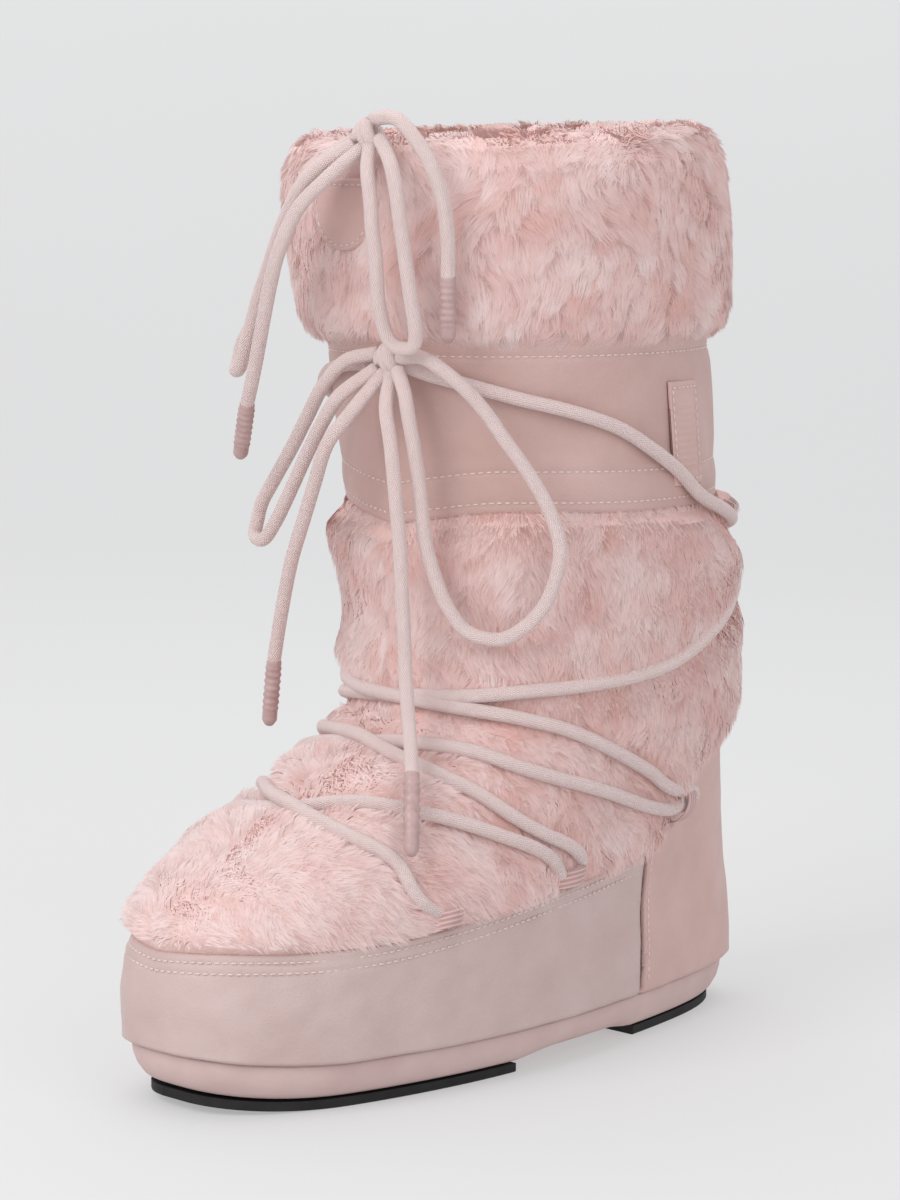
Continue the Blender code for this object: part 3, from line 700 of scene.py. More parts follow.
def rand_relief(turns, heights):
    top = edge(RAND_TOP, turns)
    here = skin(turns, heights)
    out = sum(groove(heights - (top - seam), 0.7, 0.30) for seam in RAND_SEAMS)
    out = out + 0.35 * waves(here, 5, 26.0, 60.0) + 0.16 * waves(here, 6, 9.0, 18.0)
    seam = 1.0 - smooth_step(108.0, 112.4, np.abs(turns))
    return out * (0.3 + 0.7 * seam)


def counter_relief(turns, heights):
    top = edge(COUNTER_TOP, turns)
    here = skin(turns, heights)
    out = groove(heights - (top - COUNTER_SEAMS[0]), 0.7, 0.30)
    out = out + groove(heights - (top - COUNTER_SEAMS[1]), 0.7, 0.28)
    front = np.minimum(np.abs(turns - COUNTER_TURN), np.abs(360.0 - COUNTER_TURN - turns)) * 1.9
    out = out + groove(front - 3.0, 0.7, 0.28)
    out = out + 0.5 * waves(here, 8, 30.0, 70.0) + 0.14 * waves(here, 9, 9.0, 18.0)
    middle = np.abs(turns - 180.0) * 1.3
    return out + groove(middle, 0.8, 0.4)


def band_relief(turns, heights):
    low = edge(GAITER_LOW, turns)
    here = skin(turns, heights)
    front = folded(turns) * 1.25
    out = groove(heights - (low + BAND_SEAM), 0.9, 0.55) + groove(heights - (low + HEM_SEAM), 0.7, 0.3)
    out = out + groove(heights - BAND_TOP_SEAM, 0.9, 0.55)
    out = out + 0.55 * np.exp(-((heights - (low + 7.5)) / 5.0) ** 2)
    pull = waves(here * np.array((1.0, 1.0, 0.45)), 12, 18.0, 42.0)
    between = smooth_step(0.0, 9.0, heights - low - 14.0) * smooth_step(0.0, 8.0, 278.0 - heights)
    out = out + 0.75 * pull * between
    return out + groove(front, 0.8, 0.9) + 0.3 * np.exp(-((front - 3.4) / 1.8) ** 2)


def make_walls():
    """The smooth walls round the forefoot and round the heel."""
    for node, start, end, top, seat, material, rows, relief in (
            ("rand", -COUNTER_TURN, COUNTER_TURN, RAND_TOP, SHEET_SEAT, LEATHER, 44, rand_relief),
            ("heel_counter", COUNTER_TURN, 360.0 - COUNTER_TURN, COUNTER_TOP, COUNTER_SEAT, LEATHER_COUNTER,
             76, counter_relief)):
        turns = turn_line(start + 0.1, end - 0.1, 1.25)
        low = np.full(len(turns), LIP_TOP + GAP)
        add_sheet(node, turns, low, edge(top, turns), seat, SHEET, material, rows, relief, 1.3)


def make_band():
    turns = np.arange(0.0, 360.0, 1.5)
    high = np.full(len(turns), CUFF_LOW - GAP)
    add_sheet("gaiter_band", turns, edge(GAITER_LOW, turns) - HEM, high, SHEET_SEAT, BAND, LEATHER_BAND,
              66, band_relief, 0.8, closed=True)


def tab_relief(turns, heights):
    across = np.abs(np.abs(turns) - TAB_TURN) * 1.25
    middle = np.maximum(across / 9.4, np.abs(heights - TAB_MIDDLE) / 20.5)
    out = groove((middle - 0.72) * 12.0, 0.9, 0.45) + groove((middle - 0.86) * 12.0, 0.6, 0.3)
    ribs = 0.22 * np.sin(heights * 2.0 * np.pi / 2.6) * (1.0 - smooth_step(0.58, 0.68, middle))
    return out + ribs


def make_side_tabs():
    for side, label in SIDES:
        turns = np.sort(side * turn_line(TAB_TURN - TAB_REACH, TAB_TURN + TAB_REACH, 0.5))
        low, high = np.full(len(turns), TAB_LOW), np.full(len(turns), TAB_HIGH)
        add_sheet("side_tab_" + label, turns, low, high, SHEET_SEAT + BAND + 0.1, TAB_THICK, LEATHER_COUNTER,
                  84, tab_relief, 0.7)


def degrees_for(length, turn, height):
    step = np.linalg.norm(skin(turn + 1.0, height) - skin(turn - 1.0, height)) / 2.0
    return length / step


def make_patch():
    """Smooth patch on the cuff's front: straight at the top, round below."""
    half = PATCH_SIZE / 2.0
    angles = np.radians(np.arange(0.0, 360.0, 5.0))
    square = half / np.maximum(np.abs(np.cos(angles)), np.abs(np.sin(angles)))
    reach = np.where(np.sin(angles) > 0, square, half)
    shares = np.array((0.001, 0.3, 0.55, 0.72, 0.80, 0.84, 0.88, 0.93, 0.97, 1.0, 1.0))
    lift = np.array((1.7, 1.7, 1.65, 1.6, 1.5, 1.15, 1.5, 1.5, 1.2, 0.7, 0.0))
    scale = degrees_for(1.0, 0.0, PATCH_HEIGHT)
    across = reach * np.cos(angles) * scale
    up = reach * np.sin(angles)
    points = skin(shares[:, None] * across, shares[:, None] * up + PATCH_HEIGHT, PATCH_PROUD + lift[:, None])
    add_grid("cuff_patch_leather", points, LEATHER_COUNTER, ("cuff_patch",))
    return skin(PATCH_SEAM * across, PATCH_SEAM * up + PATCH_HEIGHT, PATCH_PROUD + 1.35)


def make_stitches(lines):
    """Rows of stitches: a short rounded thread for each, laid along its line."""
    pitch, length, radius = 3.1, 2.1, 0.42
    rings = np.array(((-1.0, 0.2), (-0.65, 0.9), (0.65, 0.9), (1.0, 0.2)))
    sides = 6
    angles = np.linspace(0.0, 2.0 * np.pi, sides, endpoint=False)[:, None]
    stitches = []
    for line in lines:
        along = lengths_along(line)
        places = np.arange(pitch / 2.0, along[-1], pitch)
        spots = points_at(places, along, line)
        ways = unit(points_at(places + 0.4, along, line) - spots)
        across = unit(np.cross(ways, (0.0, 0.0, 1.0)))
        ring = across[:, None] * np.cos(angles) + np.cross(ways, across)[:, None] * np.sin(angles)
        body = (spots[:, None, None] + ways[:, None, None] * (rings[:, 0, None, None] * length / 2.0)
                + ring[:, None] * (rings[:, 1, None, None] * radius))
        stitches.append(body.reshape(-1, 3))
    points = np.concatenate(stitches)
    starts = np.arange(0, len(points), len(rings) * sides)
    faces = grid_faces(len(rings), sides, wrap_columns=True) + starts[:, None, None]
    add_piece("stitching", points, faces.reshape(-1, 4), THREAD)


def stitch_lines(patch_ring):
    lines = []
    front = turn_line(-COUNTER_TURN + 1.5, COUNTER_TURN - 1.5, 1.0)
    for drop in RAND_SEAMS:
        lines.append(skin(front, edge(RAND_TOP, front) - drop, SHEET_SEAT + SHEET - 0.05))
    back = turn_line(COUNTER_TURN + 2.0, 360.0 - COUNTER_TURN - 2.0, 1.0)
    for drop in COUNTER_SEAMS:
        lines.append(skin(back, edge(COUNTER_TOP, back) - drop, COUNTER_SEAT + SHEET - 0.05))
    rise = np.linspace(24.0, 104.0, 40)
    for turn in (COUNTER_TURN + 1.6, 360.0 - COUNTER_TURN - 1.6):
        lines.append(skin(turn, rise, COUNTER_SEAT + SHEET - 0.05))
    around = turn_line(1.5, 358.5, 1.0)
    for heights in (edge(GAITER_LOW, around) + BAND_SEAM, np.full(len(around), BAND_TOP_SEAM)):
        lines.append(skin(around, heights, SHEET_SEAT + BAND - 0.3))
    lines.append(skin(around, edge(GAITER_LOW, around) + HEM_SEAM, SHEET_SEAT + BAND + 0.05))
    lines.append(np.vstack((patch_ring, patch_ring[:1])))
    for side, _ in SIDES:
        t = np.concatenate((np.linspace(-1, 1, 12), np.ones(20), np.linspace(1, -1, 12), -np.ones(20)))
        h = np.concatenate((-np.ones(12), np.linspace(-1, 1, 20), np.ones(12), np.linspace(1, -1, 20)))
        lines.append(skin(side * (TAB_TURN + 6.3 * t), TAB_MIDDLE + 18.0 * h, SHEET_SEAT + BAND + TAB_THICK))
    return lines


def make_loops():
    """Ribbon loops for the laces, with a ribbed weave along the ribbon."""
    stations = np.linspace(-1.0, 1.0, 41)
    arch = LOOP_ARCH * np.clip(1.0 - (stations / 0.78) ** 2, 0.0, None) ** 0.6
    corners = 16
    angles = 2.0 * np.pi * np.arange(corners) / corners
    c, s = np.cos(angles), np.sin(angles)
    section = np.stack((0.5 * np.sign(c) * np.abs(c) ** 0.35, 0.5 * np.sign(s) * np.abs(s) ** 0.6), axis=-1)
    for name, turn, rise, length, width, upright in LOOPS:
        seat = SHEET + 0.9 if upright else 0.5
        height = float(edge(RAND_TOP, turn)) + rise
        for side, label in SIDES:
            rows = []
            for k, station in enumerate(stations):
                out = seat + arch[k] + LOOP_THICK * (0.5 + section[:, 1])
                if upright:
                    turns = turn + degrees_for(width, turn, height) * section[:, 0]
                    heights = np.full(corners, height + station * length / 2.0)
                else:
                    turns = np.full(corners, turn + station * degrees_for(length / 2.0, turn, height))
                    heights = edge(RAND_TOP, turns) + rise + width * section[:, 0]
                rows.append(skin(side * turns, heights, out))
            grid = np.array(rows)
            rib = np.broadcast_to(section[:, 0] * 4.0, grid.shape[:2])
            node = "loop_" + name + "_" + label
            add_grid(node + "_ribbon", grid, WEBBING, (node,), "cord", attributes={"rib": rib})


# Sole and lining

def bed_rise(y):
    return (BED_HEEL - BED_TOE) * smooth_step(-20.0, 90.0, y)


def middle_line(ring):
    """A ring drawn in to the boot's middle, which closes a piece above or below."""
    return ring * np.array((0.02, 1.0, 1.0))


def make_midsole():
    turns = np.arange(0.0, 360.0, 2.5)
    profile = (
        (SOLE_BASE, -6.0), (SOLE_BASE, -3.6), (4.6, -2.4), (6.0, -1.5), (10.0, -0.55), (14.0, -0.2),
        (17.4, 0.0), (18.4, -0.35), (LIP_TOP, -1.2), (LIP_TOP, -WALL - 0.5), (BED_TOE - 1.0, -WALL - 0.5),
        (BED_TOE, -WALL - 1.1))
    rows = []
    for height, proud in profile:
        ring = skin(turns, height, proud)
        waist = smooth_step(-14.0, 8.0, ring[:, 1]) * (1.0 - smooth_step(40.0, 62.0, ring[:, 1]))
        if height < 10.0:
            ring[:, 2] += ARCH * waist * (1.0 if height < 5.0 else 0.5)
        if height > LIP_TOP:
            ring[:, 2] += bed_rise(ring[:, 1])
        rows.append(ring)
    grid = np.array([middle_line(rows[0]), *rows, middle_line(rows[-2])])
    add_grid("midsole_foam", grid, FOAM, ("midsole",), "sole")


def sole_half(y, inset):
    """Half width of the sole's underside at y."""
    front, back, ball, heel, power = SECTIONS[0, 1:]
    along = np.clip((y - front - inset) / (back - front - 2 * inset), 0.0, 1.0)
    half = ball + (heel - ball) * smooth_step(0.35, 0.85, along) - inset
    return half * (2.0 * np.sqrt(along * (1.0 - along))) ** power


def make_outsole(name, start, end, pitch):
    """Tread piece: cross bars inside a plain edge."""
    inset, slot, draft, depth, thick = 3.0, 4.0, 0.6, 2.2, 3.7
    low, high = SECTIONS[0, 1] + inset + GAP, SECTIONS[0, 2] - inset - GAP
    start, end = max(start, low), min(end, high)
    cuts = np.arange(start + 12.0, end - 10.0, pitch)
    cuts = cuts[(sole_half(cuts, inset) > 40.0) & (sole_half(cuts + slot, inset) > 40.0)]
    stations = list(np.linspace(start, end, 60))
    for cut in cuts:
        stations += [cut - draft, cut, cut + slot, cut + slot + draft]
    stations += [low + k for k in (0.2, 0.8, 1.6, 2.5, 3.6, 5.5)] if start == low else []
    stations += [high - k for k in (0.2, 0.8, 1.6, 2.5, 3.6, 5.5)] if end == high else []
    y = np.unique(np.round(stations, 2))
    half = np.maximum(sole_half(y, inset), 8.0)
    bottom = np.zeros(len(y))
    for cut in cuts:
        bottom[(y > cut - 0.01) & (y < cut + slot + 0.01)] = depth
    rise = sole_rise(y)
    # Half of the section, from its middle out. Columns: share of the half width, cut by the slots, lift
    half_section = ((0.035, 0, 0), (0.05, 1, 0), (0.885, 1, 0), (0.90, 0, 0), (0.985, 0, 0), (1.0, 0, 0.5),
                    (1.0, 0, thick))
    section = [(-share, is_cut, lift) for share, is_cut, lift in half_section[::-1]] + list(half_section)
    rows = []
    for share, is_cut, lift in section:
        rows.append(np.stack((half * share, y, rise + np.maximum(bottom * is_cut, lift)), axis=-1))
    rows.append(np.stack((half * 0.0, y, rise + thick), axis=-1))
    grid = np.array(rows)
    ends = [np.broadcast_to(grid[:, k].mean(axis=0), (len(grid), 1, 3)) for k in (0, -1)]
    grid = np.concatenate((ends[0], grid, ends[1]), axis=1)
    add_grid(name + "_tread", grid, RUBBER, (name,), "rubber", wrap_rows=True, wrap_columns=False, flat=True)


def make_lining():
    """The upper: fleece inside, down to the sole."""
    turns = np.arange(0.0, 360.0, 3.0)
    outside = (
        19.1, 34, 50, 62, 74, 84, 93, 102, 110, 118, 126, 134, 143, 155, 175, 215, 285, 340, COLLAR - 1.2)
    inside = (
        COLLAR - 1.0, 345, 325, 305, 285, 262, 240, 215, 190, 165, 150, 140, 131, 122, 114, 106, 98, 90, 82,
        74, 66, 58, 47, 36, 28, 19.1)
    rows = [skin(turns, h) for h in outside] + [skin(turns, COLLAR, -1.0), skin(turns, COLLAR, -2.0)]
    for h in inside:
        ring = skin(turns, h, -WALL)
        rows.append(skin(turns, h, -WALL + 0.5 * waves(ring, 31, 10.0, 26.0)))
    add_grid("upper_fleece", np.array(rows), FLEECE, ("upper",), "lining", wrap_rows=True)


def make_insole():
    turns = np.arange(0.0, 360.0, 3.0)
    rows = []
    for rise, proud in ((GAP, -WALL - 1.0), (INSOLE - 0.6, -WALL - 1.0), (INSOLE + GAP, -WALL - 1.7)):
        ring = skin(turns, BED_TOE + rise, proud)
        ring[:, 2] += bed_rise(ring[:, 1])
        rows.append(ring)
    top = [rows[2] * np.array((share, 1.0, 1.0)) for share in (0.8, 0.6, 0.4, 0.2)]
    grid = np.array([middle_line(rows[0]), *rows, *top, middle_line(rows[2])])
    add_grid("insole_fleece", grid, FLEECE, ("insole",), "lining")


# Fur

def fur_low(turns):
    counter = smooth_step(COUNTER_TURN - 1.5, COUNTER_TURN + 0.5, folded(turns))
    return edge(RAND_TOP, turns) * (1.0 - counter) + edge(COUNTER_TOP, turns) * counter


def lower_place(turns, levels, out):
    """Points of the lower fur. Levels run from 0 at the rand to 1 at the gaiter band."""
    low = fur_low(turns) - 1.0
    high = edge(GAITER_LOW, turns) + 1.0
    heights = low + (high - low) * levels
    return skin(turns, heights, out)


CUFF_SLOPE = 6.0       # how far the cuff's front lies under its back
# Section of the cuff's fur, from its lower edge over the top. Columns: height, proud
CUFF_PROFILE = np.array((
    (285, 3.4), (289, 6.8), (297, 8.6), (308, 9.4), (320, 9.8), (333, 9.8), (345, 9.4), (354, 8.0),
    (360.5, 5.0), (363.5, 0.5), (362.5, -3.6), (357.5, -6.0), (350, -5.4),
))


def cuff_place(turns, levels, out):
    """Points of the cuff's fur. Levels run from 0 at its lower edge, over the top, to 1 inside the collar."""
    along = lengths_along(CUFF_PROFILE)
    along = along / along[-1]
    heights, proud = np.moveaxis(points_at(levels, along, CUFF_PROFILE), -1, 0)
    forward = (1.0 + np.cos(np.radians(turns))) / 2.0
    heights = heights - CUFF_SLOPE * forward * smooth_step(318.0, 356.0, heights)
    ahead, behind = np.clip(levels + 0.012, 0.0, 1.0), np.clip(levels - 0.012, 0.0, 1.0)
    step = points_at(ahead, along, CUFF_PROFILE) - points_at(behind, along, CUFF_PROFILE)
    climb, reach = np.moveaxis(step, -1, 0)
    size = np.maximum(np.hypot(climb, reach), 1e-6)
    return skin(turns, heights - reach / size * out, proud + climb / size * out)


class Fur:
    """A coat of fur over one of the places above."""

    def __init__(self, place, levels, turns, back):
        self.place = place
        self.levels = levels
        self.turns = turns
        self.back = back

    def frames(self, turns, levels):
        """Roots, normals and area at these places."""
        out = self.back(turns, levels)
        across = self.place(turns + 0.25, levels, out) - self.place(turns - 0.25, levels, out)
        above, below = np.clip(levels + 0.004, 0, 1), np.clip(levels - 0.004, 0, 1)
        normal = np.cross(across, self.place(turns, above, 0.0) - self.place(turns, below, 0.0))
        return self.place(turns, levels, out), unit(normal), np.linalg.norm(normal, axis=-1)

    def scatter(self, count, rng):
        """Seeded random places, even over the surface."""
        found_turns, found_levels, have = [], [], 0
        while have < count:
            turns = rng.uniform(*self.turns, count)
            levels = rng.uniform(*self.levels, count)
            area = self.frames(turns, levels)[2]
            keep = rng.uniform(0.0, 1.0, count) * np.percentile(area, 99.5) < area
            found_turns.append(turns[keep])
            found_levels.append(levels[keep])
            have += int(keep.sum())
        return np.concatenate(found_turns)[:count], np.concatenate(found_levels)[:count]


def nearest(targets, points):
    """For each point, the number of the nearest target and how far it is."""
    tree = KDTree(len(targets))
    for k, target in enumerate(targets):
        tree.insert(target, k)
    tree.balance()
    found = [tree.find(point)[1:] for point in points]
    return np.array([f[0] for f in found]), np.array([f[1] for f in found])


def flow(root, normal, seed, swirl):
    """The way the pile lies on the surface: down, and back over the foot, with slow swirls."""
    wander = np.stack([waves(root, seed + k, 30.0, 70.0) for k in range(3)], axis=-1)
    down = np.array((0.0, 0.0, -1.0)) + 0.10 * wander
    over_foot = smooth_step(0.0, 45.0, -root[:, 1]) * smooth_step(-185.0, -150.0, -root[:, 2])
    down[:, 1] += 0.9 * over_foot
    lie = down - normal * np.sum(down * normal, axis=-1, keepdims=True)
    side = np.cross(normal, unit(lie))
    return lie + side * (swirl * waves(root, seed + 5, 18.0, 44.0))[:, None]


def lie_of(points, out, seed, swirl, jitter, rng):
    """The pile's way at these points, each with its own jitter."""
    lie = flow(points, out, seed, swirl) + rng.normal(size=points.shape) * jitter
    return lie - out * np.sum(lie * out, axis=-1, keepdims=True)


def pressed_by(laces, root, normal):
    """How much a lace presses each root, 0 to 1, and which way the blades beside it lean."""
    if laces is None:
        return np.zeros(len(root)), np.zeros(root.shape)
    hit, gap = nearest(laces, root)
    away = root - laces[hit]
    away -= normal * np.sum(away * normal, axis=-1, keepdims=True)
    return np.exp(-(gap / 6.0) ** 2), unit(away) * (np.exp(-((gap - 7.0) / 3.5) ** 2) * -0.35)[:, None]


def bend(coat, rng, seed, shape, laces, count, clumps, length, rise, swirl, pull):
    """Roots, normals, middles and tips of the blades, each one's clump and its root, and the laces' press."""
    turns, levels = coat.scatter(count, rng)
    root, normal, _ = coat.frames(turns, levels)
    clump_root, clump_normal, _ = coat.frames(*coat.scatter(clumps, rng))
    which, _ = nearest(clump_root, root)
    press, lean = pressed_by(laces, root, normal)
    size = (1.0 - 0.30 * press) * shape(turns, levels, root)

    clump_lie = lie_of(clump_root, clump_normal, seed, swirl, 0.30, rng)
    clump_size = length * rng.uniform(0.86, 1.14, clumps)
    lie = lie_of(root, normal, seed, swirl, 0.22, rng) * 0.45 + clump_lie[which] * 0.55 + lean
    half = (length * size * rng.uniform(0.84, 1.1, count) * 0.5)[:, None]
    lie_way = unit(lie) * np.clip(np.linalg.norm(lie, axis=-1), 0.85, 1.0)[:, None]
    up_share = rise * (1.0 - 0.35 * press)[:, None]
    middle = root + unit(normal * (up_share + 0.25) + lie_way * (1.0 - up_share) * 0.9) * half
    tip = middle + unit(normal * (up_share - 0.18) + lie_way * (1.15 - up_share * 0.4)) * half

    clump_tip = (clump_root + (clump_normal * rise + clump_lie * 0.72) * clump_size[:, None])[which]
    share = pull * rng.uniform(0.55, 1.1, count) * (1.0 - 0.7 * press)
    reach = np.linalg.norm(clump_tip - tip, axis=-1)
    share = (share * np.clip(1.4 - reach / length, 0.0, 1.0))[:, None]
    tip = tip + (clump_tip - tip) * share
    middle = middle + (clump_tip - middle) * (share * 0.22)
    return root, normal, middle, tip, which, clump_root[which], press


def blade_mesh(root, normal, middle, tip, width, rng):
    """A quad and a tip for each blade, turned to face out, and the blades' side vectors."""
    side = unit(np.cross(unit(tip - root), normal + rng.normal(size=root.shape) * 0.35))
    half = side * (width * rng.uniform(0.7, 1.2, len(root)) / 2.0)[:, None]
    points = np.stack((root - half, root + half, middle - half * 0.85, middle + half * 0.85, tip), axis=1)
    facing = np.sum(np.cross(points[:, 1] - points[:, 0], points[:, 4] - points[:, 0]) * normal, axis=-1)
    flip = facing < 0
    points[flip] = points[flip][:, (1, 0, 3, 2, 4)]
    side[flip] = -side[flip]
    order = np.array(((0, 1, 3), (0, 3, 2), (2, 3, 4)))
    faces = (order[None] + np.arange(len(root))[:, None, None] * 5).reshape(-1, 3)
    return points, faces, side


def blade_normals(normal, tip, clump_root, side, rng):
    """The coat's own normals, turned a little round each clump and across each blade."""
    round_out = unit(tip - clump_root)
    shade = unit(normal + round_out * 0.24 + rng.normal(size=normal.shape) * 0.05)
    spread = np.stack((-side, side, -side, side, side * 0.0), axis=1) * 0.2
    return unit(shade[:, None] + spread).reshape(-1, 3)


def blade_tone(root, seed, clumps, which, press, rng):
    """From 0, deep, to 1, pale: mottled, with painted light over the toe, painted shade towards the heel and
    painted shade where the laces press the pile.
    """
    # Painted light over the toe and painted shade towards the heel
    toe_light_heel_shade = 1.4 * smooth_step(10.0, 95.0, -root[:, 1]) - 0.7 * smooth_step(0.0, 70.0, root[:, 1])
    mottle = 0.21 * (waves(root, seed + 9, 14.0, 40.0) + toe_light_heel_shade)
    own = rng.normal(size=len(root)) * 0.12
    clump = rng.normal(size=clumps)[which] * 0.14
    # Painted shade in the furrows where the laces press the pile down
    return np.clip(0.55 + mottle + own + clump - 0.35 * press, 0, 1)


def grow(name, coat, seed, replaces, shape, laces, count, clumps, length, width, rise, swirl, pull):
    """Blades of fur as one mesh, whose tips gather into soft clumps."""
    rng = np.random.default_rng(seed)
    root, normal, middle, tip, which, clump_root, press = bend(
        coat, rng, seed, shape, laces, count, clumps, length, rise, swirl, pull)
    points, faces, side = blade_mesh(root, normal, middle, tip, width, rng)
    normals = blade_normals(normal, tip, clump_root, side, rng)
    tone = np.repeat(blade_tone(root, seed, clumps, which, press, rng), 5)
    along = np.tile(np.array((0.0, 0.0, 0.55, 0.55, 1.0)), count)
    made = add_piece(name, points, faces, FUR, replaces, "fur", {"along": along, "tone": tone}, normals)
    # Blades without thickness would darken each other far more than hair does
    made.visible_shadow = False
    made.visible_diffuse = False


def grow_both(node, place, levels, back, seed, shape, laces, settings):
    """The coat's left half and right half."""
    for side, label in SIDES:
        turns = (0.0, 180.0) if side > 0 else (-180.0, 0.0)
        coat = Fur(place, levels, turns, back)
        grow(node + "_" + label, coat, seed + side, (node,), shape, laces, **settings)


def lower_padding(lace):
    """How far the fur's backing stands off the upper: sunk along the laces, padded out between them."""
    turns = np.arange(-180.0, 180.1, 2.0)
    levels = np.linspace(0.0, 1.0, 91)
    grid_turns, grid_levels = np.meshgrid(turns, levels)
    here = lower_place(grid_turns, grid_levels, np.full(grid_turns.shape, 7.0))
    gap = nearest(lace, here.reshape(-1, 3))[1].reshape(here.shape[:2])
    between = smooth_step(2.0, 13.0, gap)
    roll = np.exp(-((gap - 13.0) / 8.0) ** 2)
    depth = 3.2 + 3.6 * between + 2.4 * roll + 1.0 * waves(here, 77, 28.0, 70.0)
    low_edge = (here[..., 2] - sole_rise(here[..., 1]) - fur_low(grid_turns))
    depth = depth * (0.45 + 0.55 * smooth_step(-2.0, 9.0, low_edge))
    depth = depth * (0.05 + 0.95 * smooth_step(0.012, 0.06, 1.0 - grid_levels)) + 0.3

    def back(turn, level):
        x = (np.clip(turn, -180.0, 180.0) + 180.0) / 2.0
        y = np.clip(level, 0.0, 1.0) * 90.0
        i, j = np.minimum(x.astype(int), 179), np.minimum(y.astype(int), 89)
        fx, fy = x - i, y - j
        return (depth[j, i] * (1 - fx) * (1 - fy) + depth[j, i + 1] * fx * (1 - fy)
                + depth[j + 1, i] * (1 - fx) * fy + depth[j + 1, i + 1] * fx * fy)

    return back


def make_lower_fur(lace_lines):
    lace = np.concatenate(lace_lines)
    lace = lace[lace[:, 2] < 225.0]
    lower_back = lower_padding(lace)
    rows = np.concatenate(((0.0,), np.linspace(0.01, 0.99, 70), (1.0,)))
    turns, levels = np.meshgrid(np.arange(-180.0, 180.0, 2.0), rows)
    out = np.where((levels <= 0.0) | (levels >= 1.0), 0.9, lower_back(turns, levels) + 0.3)
    add_grid("fur_lower_backing", lower_place(turns, levels, out), BACKING, ("fur_lower",), "fur")

    def shape(turns, levels, root):
        from_rand = root[:, 2] - sole_rise(root[:, 1]) - fur_low(turns)
        from_band = smooth_step(0.0, 0.06, 1.0 - levels)
        return (0.55 + 0.45 * smooth_step(0.0, 12.0, from_rand)) * (0.8 + 0.2 * from_band)

    grow_both("fur_lower", lower_place, (0.012, 1.0), lower_back, 100, shape, lace, LOWER_COAT)


def make_cuff_fur():
    turns = np.arange(-180.0, 180.0, 2.5)
    grid_turns, levels = np.meshgrid(turns, np.linspace(0.0, 1.0, 56))
    grid = cuff_place(grid_turns, levels, np.zeros(levels.shape))
    inner = skin(turns, 346.0, -WALL - GAP)
    hem = skin(turns, 284.5, SHEET_SEAT + BAND + 0.2)
    grid = np.concatenate((hem[None], grid, inner[None]))
    add_grid("fur_cuff_backing", grid, BACKING, ("fur_cuff",), "fur")

    def back(turns, levels):
        return np.zeros(np.shape(turns))

    def shape(turns, levels, root):
        from_patch = np.linalg.norm(root - skin(0.0, PATCH_HEIGHT, 8.0), axis=-1)
        inside = 1.0 - 0.35 * smooth_step(0.66, 0.86, levels)
        at_patch = 0.62 + 0.38 * smooth_step(11.0, 19.0, from_patch)
        return inside * at_patch * (0.86 + 0.14 * smooth_step(0.0, 0.1, levels))

    grow_both("fur_cuff", cuff_place, (0.004, 0.996), back, 200, shape, None, CUFF_COAT)


# Stage, light and camera

def make_stage():
    """A pale floor that curves up into a backdrop behind the boot, seen from the camera."""
    eye = np.array(CAMERA_PLACE[:2])
    back = -eye / np.linalg.norm(eye)
    side = np.array((-back[1], back[0]))
    bend, wide, tall = 1.6, 7.0, 5.0
    profile = [(-6.0, 0.0), (-2.0, 0.0), (-0.6, 0.0), (0.6, 0.0), (bend, 0.0)]
    for angle in np.radians(np.arange(6, 91, 6)):
        profile.append((bend + bend * math.sin(angle), bend - bend * math.cos(angle)))
    profile += [(2.0 * bend, tall)]
    points = []
    for run, rise in profile:
        for reach in (-wide, wide):
            spot = back * run + side * reach
            points.append((spot[0], spot[1], rise))
    mesh = bpy.data.meshes.new("studio_floor")
    faces = [tuple(map(int, f)) for f in grid_faces(len(profile), 2)]
    mesh.from_pydata(points, [], faces)
    for polygon in mesh.polygons:
        polygon.use_smooth = True
    floor = bpy.data.objects.new("studio_floor", mesh)
    bpy.context.scene.collection.objects.link(floor)
    paper = Nodes("studio_paper", roughness=0.85, specular=0.15)
    paper.colour(paper.ramp(paper.noise(0.6, 2.0), (
        (0.3, 155.5, 155.5, 155.5), (0.7, 159.7, 159.7, 159.7))))
    rise = paper.node("SeparateXYZ", Vector=paper.place())
    glow = paper.math("MULTIPLY_ADD", paper.math("MINIMUM", rise.outputs["Z"], 1.5), GLOW_RISE, GLOW)
    paper.shader.inputs["Emission Color"].default_value = (1.0, 1.0, 1.0, 1.0)
    paper.put(paper.shader.inputs["Emission Strength"], glow)
    mesh.materials.append(paper.material)


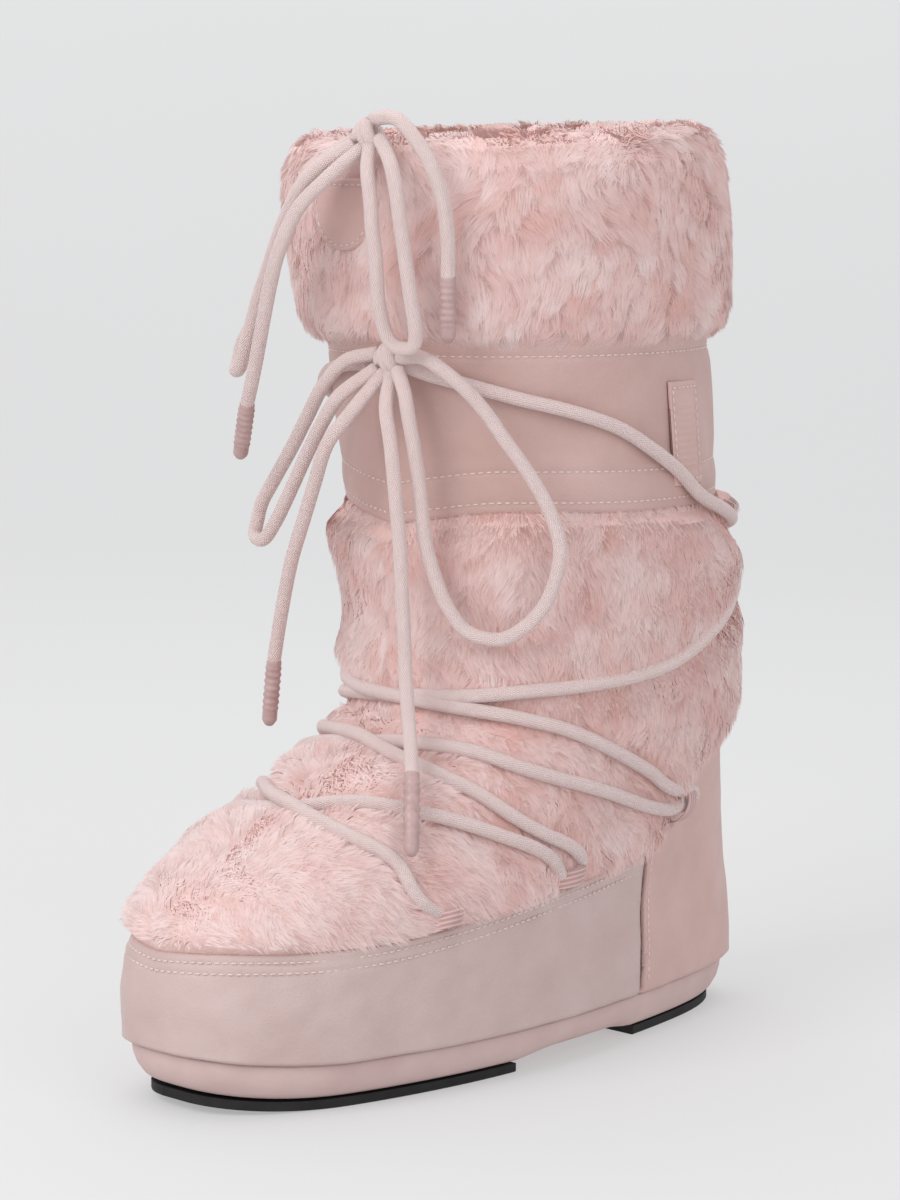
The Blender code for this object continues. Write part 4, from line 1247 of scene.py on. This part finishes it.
def aimed(name, data, place, target):
    """A camera or light at this place, turned to face the target."""
    made = bpy.data.objects.new(name, data)
    made.location = place
    made.rotation_euler = (Vector(target) - Vector(place)).to_track_quat("-Z", "Y").to_euler()
    bpy.context.scene.collection.objects.link(made)
    return made


def area_light(name, place, target, size, power, colour=(1.0, 1.0, 1.0)):
    data = bpy.data.lights.new(name, "AREA")
    data.shape = "RECTANGLE"
    data.size, data.size_y = size
    data.energy = power
    data.color = colour
    aimed(name, data, place, target)


GLOW = 0.385          # light of the backdrop's own, as from a lit studio wall
GLOW_RISE = 0.16
CAMERA_PLACE = (0.9857, -0.9806, 0.3507)
CAMERA_AIM = (0.0, 0.002, 0.178)
FOCAL_PIXELS = 3560.0
PICTURE_WIDTH = 900.0


def make_camera():
    data = bpy.data.cameras.new("camera")
    data.sensor_fit = "HORIZONTAL"
    data.sensor_width = 36.0
    data.lens = FOCAL_PIXELS / PICTURE_WIDTH * data.sensor_width
    data.clip_start = 0.05
    data.clip_end = 40.0
    bpy.context.scene.camera = aimed("camera", data, CAMERA_PLACE, CAMERA_AIM)


def make_light():
    world = bpy.data.worlds.new("studio")
    bpy.context.scene.world = world
    world.use_nodes = True
    background = world.node_tree.nodes["Background"]
    background.inputs["Color"].default_value = (0.93, 0.95, 1.0, 1.0)
    background.inputs["Strength"].default_value = 0.55
    area_light("key", (0.0, -2.1, 1.6), (0, 0, 0.15), (1.6, 1.6), 37.0, (1.0, 0.99, 0.98))
    area_light("fill", (2.0, -0.3, 1.0), (0, 0, 0.18), (1.6, 1.6), 12.0)
    area_light("top", (-0.4, 0.4, 2.4), (0, 0, 0.1), (2.4, 2.4), 25.0)


bpy.context.scene.view_settings.view_transform = "Standard"
make_camera()
make_light()
make_stage()
laces = make_laces()
make_bows()
for knot_name, knot_centre in KNOTS.items():
    make_knot(knot_name, knot_centre)
make_midsole()
make_outsole("outsole_forefoot", -150.0, -14.0, 15.0)
make_outsole("outsole_heel", 62.0, 150.0, 14.0)
make_lining()
make_insole()
make_walls()
make_band()
make_side_tabs()
make_stitches(stitch_lines(make_patch()))
make_loops()
make_lower_fur(laces)
make_cuff_fur()
